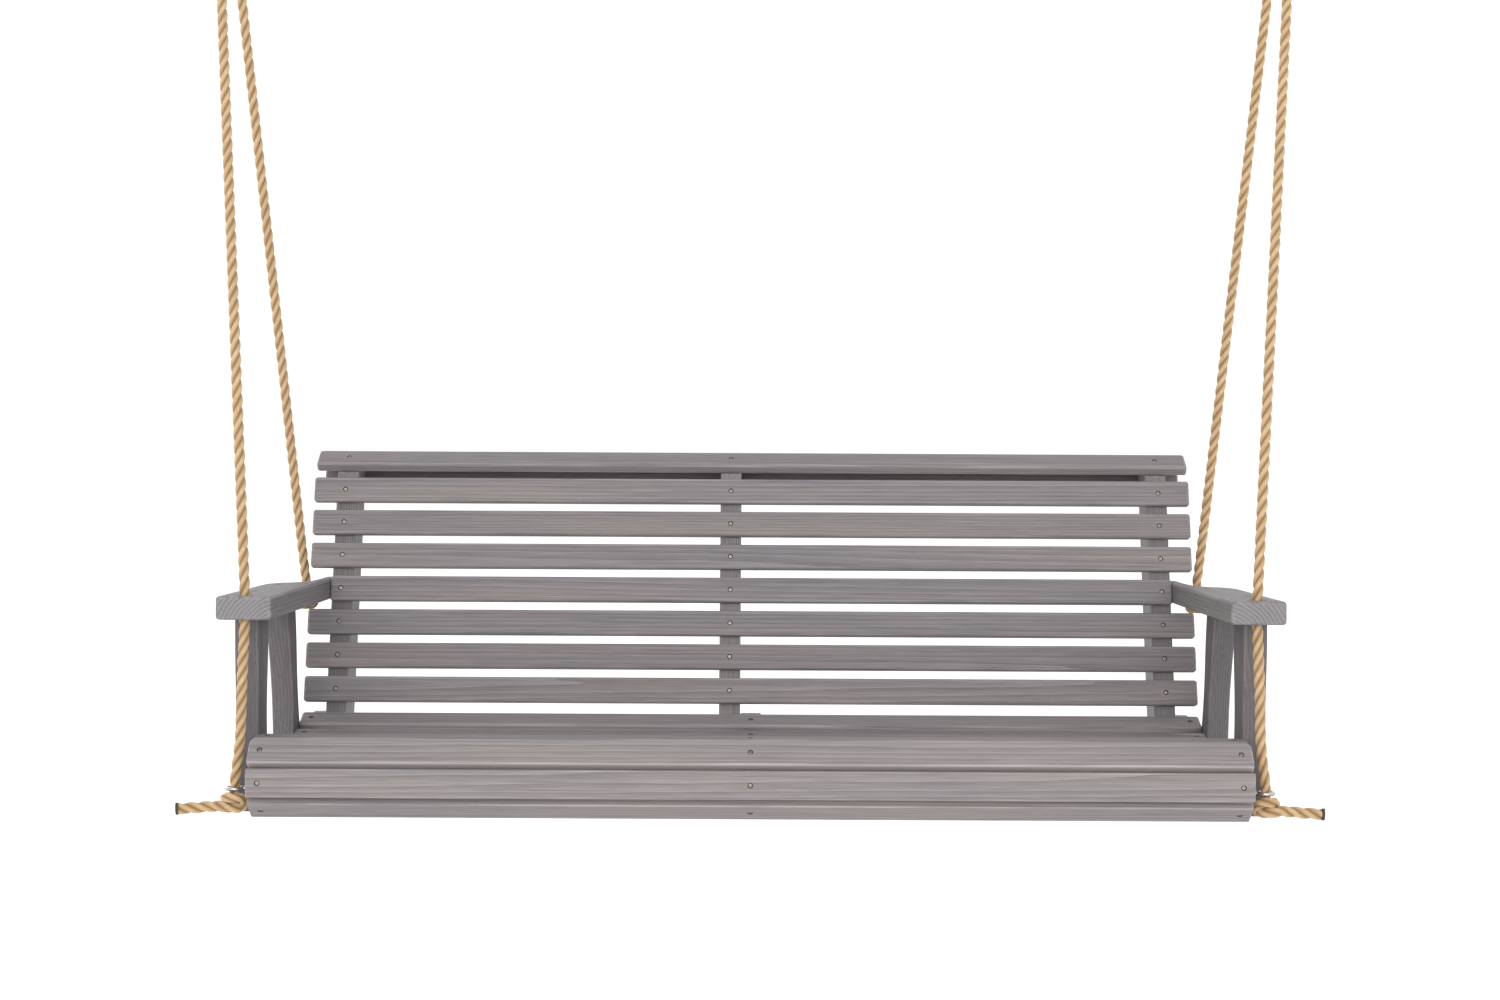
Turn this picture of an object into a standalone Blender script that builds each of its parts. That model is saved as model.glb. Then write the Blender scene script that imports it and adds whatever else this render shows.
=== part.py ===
"""Roll-back porch swing: a slatted pine bench hung from two ceiling plates on four legs of laid rope.

Row frame, in metres: +X to the right seen from the front, +Y towards the back, +Z up. The origin is
midway between the top faces of the two ceiling plates. Bench shapes are written in the bench frame,
whose y is 0 at the face of the front slat and whose z is 0 at the top of the back.
"""

import math
from collections import namedtuple

import bmesh
import bpy
from mathutils import Matrix, Vector

GAP = 0.0003

# Where the bench hangs.
HOOK_X = 0.9578
HANG_Y = 0.3787
PIN_Z = -0.0500
THIMBLE_Z = PIN_Z - 0.0057
HOOK_HEIGHT = 1.3036
BACK_TOP_Z = THIMBLE_Z - 0.0100 - HOOK_HEIGHT
SWAY = math.atan((HOOK_X - 0.8137) / 1.5460)

# Timber.
SLAT_WIDTH = 0.0460
SLAT_THICKNESS = 0.0190
SLAT_EDGE = 0.0035
SLAT_HALF = 0.8030
BOARD = 0.0380
BOARD_EDGE = 0.0025
RAIL_OUTER = 0.8030
RAIL_INNER = RAIL_OUTER - BOARD
BRACE_OUTER = RAIL_INNER - GAP
BRACE_INNER = BRACE_OUTER - BOARD
POST_INNER = RAIL_OUTER + GAP
POST_OUTER = POST_INNER + BOARD
ARM_INNER = RAIL_INNER
ARM_WIDTH = 0.0890
ARM_TOP = -0.2341
ARM_BOTTOM = ARM_TOP - BOARD
RAIL_BOTTOM = -0.5920
RAIL_REAR = 0.6000
RAIL_TAPER = (0.2500, -0.5450)
RAIL_TAIL_TOP = -0.4800
BRACE_DEPTH = 0.0820
BRACE_FOOT = -0.5550
CENTRE_RAIL_X = 0.0
CENTRE_BRACE_X = -BOARD - GAP

# Slats around the front nose: face centre y, z and lean in degrees.
NOSE_SLATS = {
    "nose_slat_lower": (0.0306, -0.5785, -54.0),
    "nose_slat_front": (0.0000, -0.5300, 0.0),
    "nose_slat_upper": (0.0205, -0.4793, 39.0),
}

# Dished seat.
SEAT_SLATS = 7
SEAT_FIRST_Y = 0.0750
SEAT_LAST_Y = 0.4560
SEAT_LOW_Y = 0.3290
SEAT_CREST_Z = -0.4630
SEAT_LOW_Z = -0.5020
SEAT_RISE = 0.0250

# Reclined back with its rolled top.
BACK_SLATS = 7
ARM_SLAT = 4
BACK_FIRST = (0.4830, -0.4280)
BACK_PITCH_Z = 0.0594
RECLINE = math.radians(14.6)
ROLL_SLATS = {
    "roll_slat_front": (0.6153, -0.0125, 57.0),
    "roll_slat_top": (0.6742, -0.0050, 100.0),
    "roll_slat_rear": (0.7025, -0.0630, 194.6),
}

# Arm plan, from the front end to the back end of its outer edge.
ARM_FRONT_Y = 0.0120
ARM_REAR_Y = 0.6100
ARM_OUTER_EDGE = [
    (0.8543, 0.0120),
    (0.8515, 0.2000),
    (0.8505, 0.3450),
    (0.8470, 0.3740),
    (0.8330, 0.4000),
    (0.8110, 0.4180),
    (0.7970, 0.4380),
    (0.7905, 0.4700),
    (0.7873, 0.5200),
    (0.7873, 0.6100),
]
ROPE_HOLE = (0.8137, 0.0462)
ROPE_HOLE_R = 0.0130

# Shaped uprights under the arms: y at the arm, y at the foot, width.
POSTS = {"front_post": (0.1385, 0.1385, 0.0870), "rear_post": (0.3740, 0.4500, 0.0670)}
POST_FOOT = -0.5900
POST_WAIST = 0.0100
WAIST_TOP = -0.3000
WAIST_FOOT = -0.5600

# Screws, bolts and eye bolts.
SCREW_R = 0.0042
SCREW_HEAD = 0.0009
SCREW_ROOT = 0.0030
SEAT_SCREW_X = 0.5 * (RAIL_INNER + RAIL_OUTER)
BACK_SCREW_X = 0.5 * (BRACE_INNER + BRACE_OUTER)
BOLT_R = 0.0040
BOLT_HOLE_R = 0.0045
BOLT_HEAD_R = 0.0085
BOLT_HEAD = 0.0055
BOLT_GRIP = 2 * BOARD + GAP
POST_BOLT_Z = -0.5480
BRACE_BOLT = (0.5170, -0.5350)
EYE_ROD = 0.0045
EYE_HOLE_R = 0.0050
EYE_RING = 0.0125
EYE_WIRE = 0.0030
EYES = {
    "front": (0.8295, 0.0500, -0.5450, RAIL_OUTER, RAIL_INNER),
    "rear": (0.8170, 0.5780, -0.2525, 0.7873, BRACE_INNER),
}
WASHER_R = 0.0105
WASHER = 0.0016
NUT_R = 0.0085
NUT = 0.0075
THREAD = 0.0045

# Rope. The bight's points are y and distance down from the thimble's centre; the legs' are x, y, z.
ROPE_D = 0.0175
BIGHT = [
    (0.0000, -0.0240),
    (0.0120, -0.0208),
    (0.0208, -0.0120),
    (0.0240, 0.0000),
    (0.0224, 0.0095),
    (0.0172, 0.0260),
    (0.0119, 0.0410),
    (0.0093, 0.0530),
    (0.0091, 0.0660),
    (0.0094, 0.0780),
    (0.0108, 0.0900),
    (0.0158, 0.1200),
]
FRONT_LEG = [
    (0.8160, 0.0510, -0.2120),
    (0.8140, 0.0470, -0.2380),
    (0.8136, 0.0458, -0.2620),
    (0.8150, 0.0460, -0.3000),
    (0.8185, 0.0470, -0.3800),
    (0.8215, 0.0485, -0.4700),
    (0.8268, 0.0497, -0.5150),
    (0.8293, 0.0500, -0.5350),
    (0.8295, 0.0500, -0.5455),
]
REAR_LEG = [
    (0.8212, 0.5700, -0.2000),
    (0.8180, 0.5765, -0.2350),
    (0.8170, 0.5780, -0.2530),
]
TAILS = {
    "front": ((0.8360, 0.0494, -0.5715), (0.9220, 0.0410, -0.5775)),
    "rear": ((0.8235, 0.5786, -0.2785), (0.9100, 0.5890, -0.2845)),
}
TAIL_R = 0.0095
KNOT_PROFILE = [
    (0.0000, 0.0000),
    (0.0088, 0.0000),
    (0.0092, 0.0014),
    (0.0104, 0.0030),
    (0.0122, 0.0043),
    (0.0170, 0.0060),
    (0.0205, 0.0125),
    (0.0210, 0.0240),
    (0.0170, 0.0345),
    (0.0090, 0.0410),
    (0.0000, 0.0410),
]

# Ceiling hardware.
PLATE_HALF = (0.0220, 0.0500)
PLATE_THICKNESS = 0.0050
EAR_INSIDE = 0.0150
EAR_OUTSIDE = 0.0190
EAR_HALF_Y = 0.0140
EAR_FOOT = -0.0640
PIN_R = 0.0060
PLATE_SCREWS = [(-0.0150, -0.0380), (0.0150, -0.0380), (-0.0150, 0.0380), (0.0150, 0.0380)]
THIMBLE_PROFILE = [
    (0.0130, -0.0105),
    (0.0215, -0.0105),
    (0.0215, -0.0092),
    (0.0176, -0.0072),
    (0.0153, -0.0042),
    (0.0145, 0.0000),
    (0.0153, 0.0042),
    (0.0176, 0.0072),
    (0.0215, 0.0092),
    (0.0215, 0.0105),
    (0.0130, 0.0105),
]
SEIZING_SPAN = (0.0550, 0.0770)
SEIZING_WALL = 0.0028
SEIZING_ARM = 0.0092

BENCH = Vector((0.0, -HANG_Y, BACK_TOP_Z))
SIDES = {"left": -1, "right": 1}

Slat = namedtuple("Slat", "name y z lean half screws")


def clear_scene():
    """Start from an empty file."""
    for item in list(bpy.data.objects):
        bpy.data.objects.remove(item, do_unlink=True)


def material(name, colour, roughness, metallic=0.0):
    """A Principled material of one colour."""
    made = bpy.data.materials.new(name)
    made.use_nodes = True
    shader = made.node_tree.nodes["Principled BSDF"]
    shader.inputs["Base Color"].default_value = (*colour, 1.0)
    shader.inputs["Roughness"].default_value = roughness
    shader.inputs["Metallic"].default_value = metallic
    return made


def add_axis(name, place):
    """An empty that carries a group of pieces."""
    made = bpy.data.objects.new(name, None)
    bpy.context.scene.collection.objects.link(made)
    made.location = place
    bpy.context.view_layer.update()
    return made


def add_object(name, data, matrix, finish, parent):
    """Put a mesh or curve in the scene at a place of its own, under its parent."""
    made = bpy.data.objects.new(name, data)
    bpy.context.scene.collection.objects.link(made)
    if not data.materials:
        data.materials.append(finish)
    made.parent = parent
    made.matrix_world = matrix
    return made


def mesh_of(bm, name):
    """Close a bmesh into a mesh whose faces point outwards."""
    bmesh.ops.recalc_face_normals(bm, faces=bm.faces)
    made = bpy.data.meshes.new(name)
    bm.to_mesh(made)
    bm.free()
    made.shade_smooth()
    made.set_sharp_from_angle(angle=math.radians(35))
    return made


def add_prism(bm, outline, depth_axis, low, high):
    """Add a prism: an outline of (a, b) pairs drawn out along one axis from low to high."""
    def point(pair, depth):
        place = list(pair)
        place.insert(depth_axis, depth)
        return bm.verts.new(place)

    near = [point(pair, low) for pair in outline]
    far = [point(pair, high) for pair in outline]
    bm.faces.new(near)
    bm.faces.new(far)
    for i, corner in enumerate(near):
        j = (i + 1) % len(near)
        bm.faces.new((corner, near[j], far[j], far[i]))


def bridge_rings(bm, rings, segments):
    """Join each ring of vertices to the next, fanning where a ring is a single point."""
    for lower, upper in zip(rings, rings[1:]):
        for k in range(segments):
            j = (k + 1) % segments
            if len(lower) == 1:
                bm.faces.new((lower[0], upper[k], upper[j]))
            elif len(upper) == 1:
                bm.faces.new((lower[k], lower[j], upper[0]))
            else:
                bm.faces.new((lower[k], lower[j], upper[j], upper[k]))


def add_turned(bm, profile, segments, matrix):
    """Add a solid turned about local Z from (radius, height) pairs; radius 0 closes an end."""
    rings = []
    for radius, height in profile:
        if radius == 0.0:
            rings.append([bm.verts.new(matrix @ Vector((0.0, 0.0, height)))])
            continue
        ring = []
        for k in range(segments):
            turn = 2 * math.pi * k / segments
            ring.append(bm.verts.new(matrix @ Vector((radius * math.cos(turn), radius * math.sin(turn), height))))
        rings.append(ring)
    bridge_rings(bm, rings, segments)
    return rings


def turned_mesh(name, profile, segments):
    """A mesh turned about local Z."""
    bm = bmesh.new()
    add_turned(bm, profile, segments, Matrix.Identity(4))
    return mesh_of(bm, name)


def ring_mesh(name, profile, segments):
    """A mesh turned about local Z from a closed loop of (radius, height) pairs."""
    bm = bmesh.new()
    rings = add_turned(bm, profile, segments, Matrix.Identity(4))
    bridge_rings(bm, [rings[-1], rings[0]], segments)
    return mesh_of(bm, name)


def add_rod(bm, matrix, radius, length, segments=12):
    """Add a plain round rod along local Z."""
    add_turned(bm, [(0.0, 0.0), (radius, 0.0), (radius, length), (0.0, length)], segments, matrix)


def at(*place):
    """A matrix that only moves."""
    return Matrix.Translation(place)


def in_bench(x, y, z):
    """A matrix that moves to a place given in the bench frame."""
    return Matrix.Translation(BENCH + Vector((x, y, z)))


def facing(direction):
    """A rotation whose local Z runs along a direction."""
    return direction.to_track_quat("Z", "Y").to_matrix().to_4x4()


def bevel(item, width, segments=1):
    """Ease the sharp edges of a board."""
    made = item.modifiers.new("edges", "BEVEL")
    made.width = width
    made.segments = segments
    made.limit_method = "ANGLE"
    made.angle_limit = math.radians(30)


def combine(item, other, operation):
    """Cut or join another closed object into this one, and hide the other."""
    made = item.modifiers.new(other.name, "BOOLEAN")
    made.operation = operation
    made.object = other
    made.solver = "EXACT"
    other.hide_render = True
    other.display_type = "WIRE"


def lean_axes(lean):
    """Directions along a slat's width and out of its face, for its lean from upright in degrees."""
    turn = math.radians(lean)
    return Vector((0.0, math.sin(turn), math.cos(turn))), Vector((0.0, -math.cos(turn), math.sin(turn)))


def inner_point(slat, along):
    """A (y, z) point just behind a slat's inner face, at a distance along its width."""
    up, out = lean_axes(slat.lean)
    place = Vector((0.0, slat.y, slat.z)) + up * along - out * (SLAT_THICKNESS + GAP)
    return place.y, place.z


def meet(first, second):
    """The (y, z) point where the inner faces of two slats meet."""
    up_a = lean_axes(first.lean)[0]
    up_b = lean_axes(second.lean)[0]
    ya, za = inner_point(first, 0.0)
    yb, zb = inner_point(second, 0.0)
    cross = up_a.y * up_b.z - up_a.z * up_b.y
    along = ((yb - ya) * up_b.z - (zb - za) * up_b.y) / cross
    return ya + up_a.y * along, za + up_a.z * along


def seat_height(y):
    """Height of the dished seat and its slope: a soft fall from the crest, then a rise to the back."""
    if y < SEAT_LOW_Y:
        span = SEAT_LOW_Y - SEAT_FIRST_Y
        fall = SEAT_CREST_Z - SEAT_LOW_Z
        phase = math.pi * (y - SEAT_FIRST_Y) / span
        return SEAT_CREST_Z - fall * (1 - math.cos(phase)) / 2, -fall * math.pi / span * math.sin(phase) / 2
    gain = SEAT_RISE / (SEAT_LAST_Y - SEAT_LOW_Y) ** 2
    return SEAT_LOW_Z + gain * (y - SEAT_LOW_Y) ** 2, 2 * gain * (y - SEAT_LOW_Y)


def nose_slats():
    """Three slats wrapped around the front of the seat."""
    screws = (-SEAT_SCREW_X, CENTRE_RAIL_X, SEAT_SCREW_X)
    return [Slat(name, y, z, lean, SLAT_HALF, screws) for name, (y, z, lean) in NOSE_SLATS.items()]


def seat_slats():
    """Slats across the dished seat, front to back."""
    screws = (-SEAT_SCREW_X, CENTRE_RAIL_X, SEAT_SCREW_X)
    made = []
    for i in range(SEAT_SLATS):
        y = SEAT_FIRST_Y + (SEAT_LAST_Y - SEAT_FIRST_Y) * i / (SEAT_SLATS - 1)
        z, slope = seat_height(y)
        lean = 90.0 - math.degrees(math.atan(slope))
        made.append(Slat(f"seat_slat_{i + 1}", y, z, lean, SLAT_HALF, screws))
    return made


def back_slats():
    """Slats up the reclined back; the one at the arms is short enough to fit between them."""
    screws = (-BACK_SCREW_X, CENTRE_BRACE_X, BACK_SCREW_X)
    made = []
    for i in range(BACK_SLATS):
        z = BACK_FIRST[1] + BACK_PITCH_Z * i
        y = BACK_FIRST[0] + BACK_PITCH_Z * i * math.tan(RECLINE)
        half = BRACE_OUTER if i + 1 == ARM_SLAT else SLAT_HALF
        made.append(Slat(f"back_slat_{i + 1}", y, z, math.degrees(RECLINE), half, screws))
    return made


def roll_slats():
    """Three slats around the rolled top of the back."""
    screws = (-BACK_SCREW_X, CENTRE_BRACE_X, BACK_SCREW_X)
    return [Slat(name, y, z, lean, SLAT_HALF, screws) for name, (y, z, lean) in ROLL_SLATS.items()]


def add_screw_head(bm, place):
    """Add a low round head that stands on a face along local Z and is rooted under it."""
    profile = [(0.0, -SCREW_ROOT), (SCREW_R, -SCREW_ROOT), (SCREW_R, 0.0), (SCREW_R * 0.85, SCREW_HEAD)]
    profile.append((0.0, SCREW_HEAD))
    add_turned(bm, profile, 8, Matrix.Translation(place))


def build_slat(slat, finish, parent):
    """One slat with eased edges and its screw heads. Its local Z runs out of its face."""
    up, out = lean_axes(slat.lean)
    middle = BENCH + Vector((0.0, slat.y, slat.z)) - out * SLAT_THICKNESS / 2
    turn = Matrix((Vector((1.0, 0.0, 0.0)), up, out)).transposed().to_4x4()
    matrix = Matrix.Translation(middle) @ turn
    board = bmesh.new()
    bmesh.ops.create_cube(board, size=1.0)
    bmesh.ops.scale(board, vec=(2 * slat.half, SLAT_WIDTH, SLAT_THICKNESS), verts=board.verts)
    made = add_object(slat.name, mesh_of(board, slat.name), matrix, finish, parent)
    bevel(made, SLAT_EDGE)
    heads = bmesh.new()
    for x in slat.screws:
        add_screw_head(heads, (x, 0.0, SLAT_THICKNESS / 2))
    name = f"{slat.name}_screws"
    combine(made, add_object(name, mesh_of(heads, name), matrix, finish, parent), "UNION")


def board_mesh(name, outline):
    """A board's mesh from its side view in the bench frame, centred on its thickness."""
    bm = bmesh.new()
    add_prism(bm, outline, 0, -BOARD / 2, BOARD / 2)
    return mesh_of(bm, name)


def build_board(name, mesh, x, finish, parent):
    """A board across the bench at a distance from its middle, with eased edges."""
    made = add_object(name, mesh, in_bench(x, 0.0, 0.0), finish, parent)
    bevel(made, BOARD_EDGE)
    return made


def rail_outline(nose, seat):
    """Side view of a seat rail: its nose and top follow the backs of the slats."""
    lower, front, upper = nose
    along = lean_axes(lower.lean)[0]
    y, z = inner_point(lower, 0.0)
    run = (z - RAIL_BOTTOM) / along.z
    outline = [(y - along.y * run, RAIL_BOTTOM), meet(lower, front), meet(front, upper), meet(upper, seat[0])]
    for slat in seat:
        outline.append(inner_point(slat, -SLAT_WIDTH / 2))
        outline.append(inner_point(slat, SLAT_WIDTH / 2))
    rear_y = outline[-1][0]
    outline.append((rear_y + 0.0150, RAIL_TAIL_TOP))
    outline.append((RAIL_REAR - 0.0100, RAIL_TAIL_TOP))
    outline.append((RAIL_REAR, RAIL_TAIL_TOP - 0.0100))
    outline.append((RAIL_REAR, RAIL_TAPER[1] + 0.0100))
    outline.append((RAIL_REAR - 0.0100, RAIL_TAPER[1]))
    outline.append((RAIL_TAPER[0], RAIL_BOTTOM))
    return outline


def brace_outline(back, roll):
    """Side view of a back brace: straight legs with a top shaped for the rolled slats."""
    front, top, rear = roll
    face_y, face_z = inner_point(back[0], 0.0)
    foot_y = face_y + (BRACE_FOOT - face_z) * math.tan(RECLINE)
    depth = BRACE_DEPTH / math.cos(RECLINE)
    half = SLAT_WIDTH / 2
    return [
        (foot_y, BRACE_FOOT),
        inner_point(back[-1], half),
        inner_point(front, -half),
        inner_point(front, half),
        inner_point(top, -half),
        inner_point(top, half - 0.0080),
        inner_point(rear, -half),
        inner_point(rear, half),
        (foot_y + depth, BRACE_FOOT),
    ]


def post_middle(top_y, foot_y, z):
    """Where the middle of an upright is at a height."""
    share = (ARM_BOTTOM - z) / (ARM_BOTTOM - POST_FOOT)
    return top_y + (foot_y - top_y) * share


def post_outline(top_y, foot_y, width):
    """Side view of an arm upright: straight ends and a waist between them."""
    heights = [ARM_BOTTOM - GAP, WAIST_TOP]
    heights += [WAIST_TOP + (WAIST_FOOT - WAIST_TOP) * k / 6 for k in range(1, 6)]
    heights += [WAIST_FOOT, POST_FOOT]
    front = []
    rear = []
    for z in heights:
        middle = post_middle(top_y, foot_y, z)
        dip = min(max((WAIST_TOP - z) / (WAIST_TOP - WAIST_FOOT), 0.0), 1.0)
        half = width / 2 - POST_WAIST * math.sin(math.pi * dip) ** 2
        front.append((middle - half, z))
        rear.append((middle + half, z))
    return front + rear[::-1]


def build_arm(name, side, finish, parent):
    """An arm rest: wide over its uprights, narrow where it passes the back, screwed down from above."""
    outline = [(ARM_INNER, ARM_REAR_Y), (ARM_INNER, ARM_FRONT_Y)] + ARM_OUTER_EDGE
    bm = bmesh.new()
    add_prism(bm, [(side * x, y) for x, y in outline], 2, -BOARD, 0.0)
    matrix = in_bench(0.0, 0.0, ARM_TOP)
    made = add_object(name, mesh_of(bm, name), matrix, finish, parent)
    bevel(made, BOARD_EDGE * 2)
    heads = bmesh.new()
    for top_y, _, _ in POSTS.values():
        for offset in (-0.0220, 0.0220):
            add_screw_head(heads, (side * 0.5 * (POST_INNER + POST_OUTER), top_y + offset, 0.0))
    guide = add_object(f"{name}_screws", mesh_of(heads, f"{name}_screws"), matrix, finish, parent)
    combine(made, guide, "UNION")
    return made


def bolt_places():
    """Every frame bolt as a name, the x of the low end of its grip, y and z."""
    brace_y, brace_z = BRACE_BOLT
    places = {}
    for side_name, side in SIDES.items():
        for post, (top_y, foot_y, _) in POSTS.items():
            low = min(side * RAIL_INNER, side * POST_OUTER)
            places[f"{side_name}_{post}_bolt"] = (low, post_middle(top_y, foot_y, POST_BOLT_Z), POST_BOLT_Z)
        places[f"{side_name}_brace_bolt"] = (min(side * BRACE_INNER, side * RAIL_OUTER), brace_y, brace_z)
    places["centre_brace_bolt"] = (CENTRE_BRACE_X - BOARD / 2, brace_y, brace_z)
    return places


def build_frame_bolts(finish, parent):
    """Round-head bolts with their nuts, all of one grip."""
    grip, head = BOLT_GRIP + GAP, BOLT_GRIP + BOLT_HEAD
    profile = [(0.0, -BOLT_HEAD), (BOLT_HEAD_R, -BOLT_HEAD), (BOLT_HEAD_R, -GAP), (BOLT_R, -GAP), (BOLT_R, grip)]
    profile += [(BOLT_HEAD_R, grip), (BOLT_HEAD_R, head), (0.0, head)]
    mesh = turned_mesh("frame_bolt", profile, 12)
    for name, place in bolt_places().items():
        add_object(name, mesh, in_bench(*place) @ facing(Vector((1.0, 0.0, 0.0))), finish, parent)


def build_hole_cutter(finish, parent):
    """Cylinders along X for the bolts and eye bolts, and upright ones for the ropes."""
    bm = bmesh.new()
    along_x = facing(Vector((1.0, 0.0, 0.0)))
    for x, y, z in bolt_places().values():
        add_rod(bm, at(x - 0.0100, y, z) @ along_x, BOLT_HOLE_R, BOLT_GRIP + 0.0200)
    for side in SIDES.values():
        for _, y, z, outer, inner in EYES.values():
            low = min(side * inner, side * outer)
            add_rod(bm, at(low - 0.0100, y, z) @ along_x, EYE_HOLE_R, outer - inner + 0.0200)
        add_rod(bm, at(side * ROPE_HOLE[0], ROPE_HOLE[1], ARM_BOTTOM - 0.0100), ROPE_HOLE_R, BOARD + 0.0200, 16)
    return add_object("hole_cutter", mesh_of(bm, "hole_cutter"), in_bench(0.0, 0.0, 0.0), finish, parent)


def eye_shank_profile(place):
    """Shank of an eye bolt from its threaded tip to its eye, with its nut and both washers on it."""
    x, _, _, outer, inner = place
    nut_end = inner - GAP - WASHER - NUT
    steps = [
        (EYE_ROD, nut_end - THREAD),
        (EYE_ROD, nut_end),
        (NUT_R, nut_end),
        (NUT_R, nut_end + NUT),
        (WASHER_R, nut_end + NUT),
        (WASHER_R, inner - GAP),
        (EYE_ROD, inner - GAP),
        (EYE_ROD, outer + GAP),
        (WASHER_R, outer + GAP),
        (WASHER_R, outer + GAP + WASHER),
        (EYE_ROD, outer + GAP + WASHER),
        (EYE_ROD, x - EYE_RING),
    ]
    profile = [(radius, away - x) for radius, away in steps]
    return [(0.0, profile[0][1])] + profile + [(0.0, profile[-1][1])]


def build_eye_bolt(name, side, place, finish, parent):
    """A forged eye on its shank; the eye lies flat, so that the rope runs down through it."""
    turns = [math.pi * k / 4 for k in range(8)]
    section = [(EYE_RING + EYE_WIRE * math.cos(turn), EYE_WIRE * math.sin(turn)) for turn in turns]
    centre = in_bench(side * place[0], place[1], place[2])
    made = add_object(name, ring_mesh(name, section, 16), centre, finish, parent)
    shank = turned_mesh(f"{name}_shank", eye_shank_profile(place), 12)
    guide = add_object(f"{name}_shank", shank, centre @ facing(Vector((side, 0.0, 0.0))), finish, parent)
    combine(made, guide, "UNION")


def hang_frame(side):
    """Frame at a thimble's centre, tilted so that its local -Z runs down the ropes."""
    return at(side * HOOK_X, 0.0, THIMBLE_Z) @ Matrix.Rotation(side * SWAY, 4, "Y")


def leg_route(side, toward, leg):
    """Route of one leg from its thimble's centre: over the thimble, through the seizing, then to its eye."""
    tilt = Matrix.Rotation(side * SWAY, 3, "Y")
    top = [tilt @ Vector((0.0, toward * y, -down)) for y, down in BIGHT]
    shift = BENCH - Vector((side * HOOK_X, 0.0, THIMBLE_Z))
    low = [shift + Vector((side * x, y, z)) for x, y, z in leg]
    return top + [top[-1].lerp(low[0], 1 / 3), top[-1].lerp(low[0], 2 / 3)] + low


def smooth(points, share):
    """A point on the centripetal Catmull-Rom curve between the middle two of four points."""
    knots = [0.0]
    for before, after in zip(points, points[1:]):
        knots.append(knots[-1] + math.sqrt((after - before).length))
    when = knots[1] + (knots[2] - knots[1]) * share
    level = list(points)
    for order in (1, 2, 3):
        level = [blend(level, knots, i, order, when) for i in range(len(level) - 1)]
    return level[0]


def blend(level, knots, i, order, when):
    """One step of the curve's triangle of blends."""
    low, high = (knots[1], knots[2]) if order == 3 else (knots[i], knots[i + order])
    return level[i].lerp(level[i + 1], (when - low) / (high - low))


def sampled(route):
    """Points along a smooth curve through a route, close together in its bends.

    The first points lie level and the last ones upright, so that the rope's ends are square.
    """
    mirrored = Vector((route[1].x, -route[1].y, route[1].z))
    ends = [mirrored] + route + [2 * route[-1] - route[-2]]
    fine = [smooth(ends[i:i + 4], k / 40) for i in range(len(route) - 1) for k in range(40)] + [route[-1]]
    total = sum((after - before).length for before, after in zip(fine, fine[1:]))
    level = Vector((0.0, math.copysign(1.0, route[1].y), 0.0))
    picked = [fine[0] + level * GAP / 2, fine[0] + level * 0.0020]
    run = 0.0
    for before, after in zip(fine, fine[1:]):
        run += (after - before).length
        near_end = total - run < 0.0700
        step = 0.0065 if run < 0.0500 else 0.0120 if run < 0.1500 or near_end else 0.0450
        if (after - picked[-1]).length >= step and total - run > 0.0080:
            picked.append(after)
    return picked + [fine[-1] + Vector((0.0, 0.0, 0.0040)), fine[-1]]


def build_rope_leg(name, side, toward, leg, finish, parent):
    """One leg of rope from the top of its thimble down to its knot."""
    curve = bpy.data.curves.new(name, "CURVE")
    curve.dimensions = "3D"
    curve.bevel_depth = ROPE_D / 2
    curve.bevel_resolution = 2
    curve.use_fill_caps = True
    points = sampled(leg_route(side, toward, leg))
    spline = curve.splines.new("POLY")
    spline.points.add(len(points) - 1)
    for slot, place in zip(spline.points, points):
        slot.co = (*place, 1.0)
    add_object(name, curve, at(side * HOOK_X, 0.0, THIMBLE_Z), finish, parent)


def build_knot(name, side, end, leg, finish, parent):
    """The outer shape of a stopper knot under its eye, with the tail that sticks out of it."""
    x, y, z = leg[-1]
    matrix = in_bench(side * x, y, z - GAP) @ Matrix.Rotation(math.pi, 4, "X")
    made = add_object(name, turned_mesh(name, KNOT_PROFILE, 12), matrix, finish, parent)
    root, tip = [Vector((side * px, py, pz)) for px, py, pz in TAILS[end]]
    length = (tip - root).length
    profile = [(0.0, 0.0), (TAIL_R, 0.0), (TAIL_R, length - 0.0020), (TAIL_R * 0.85, length), (0.0, length)]
    tail = turned_mesh(f"{name}_tail", profile, 10)
    guide = add_object(f"{name}_tail", tail, in_bench(*root) @ facing(tip - root), finish, parent)
    combine(made, guide, "UNION")


def build_thimble(name, side, finish, parent):
    """A round grooved thimble, tilted into the plane of its rope."""
    matrix = hang_frame(side) @ facing(Vector((1.0, 0.0, 0.0)))
    add_object(name, ring_mesh(name, THIMBLE_PROFILE, 24), matrix, finish, parent)


def build_seizing(name, side, finish, parent):
    """A tight whipping of twine around both legs, just under the thimble."""
    bm = bmesh.new()
    loops = []
    inner = ROPE_D / 2 + 0.0006
    outer = inner + SEIZING_WALL
    top, foot = SEIZING_SPAN
    for radius, down in ((inner, top), (inner, foot), (outer, foot), (outer, top)):
        loop = []
        for k in range(16):
            turn = 2 * math.pi * (k + 0.5) / 16
            y = radius * math.cos(turn) + math.copysign(SEIZING_ARM, math.cos(turn))
            loop.append(bm.verts.new((radius * math.sin(turn), y, -down)))
        loops.append(loop)
    bridge_rings(bm, loops + [loops[0]], 16)
    add_object(name, mesh_of(bm, name), hang_frame(side), finish, parent)


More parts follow.
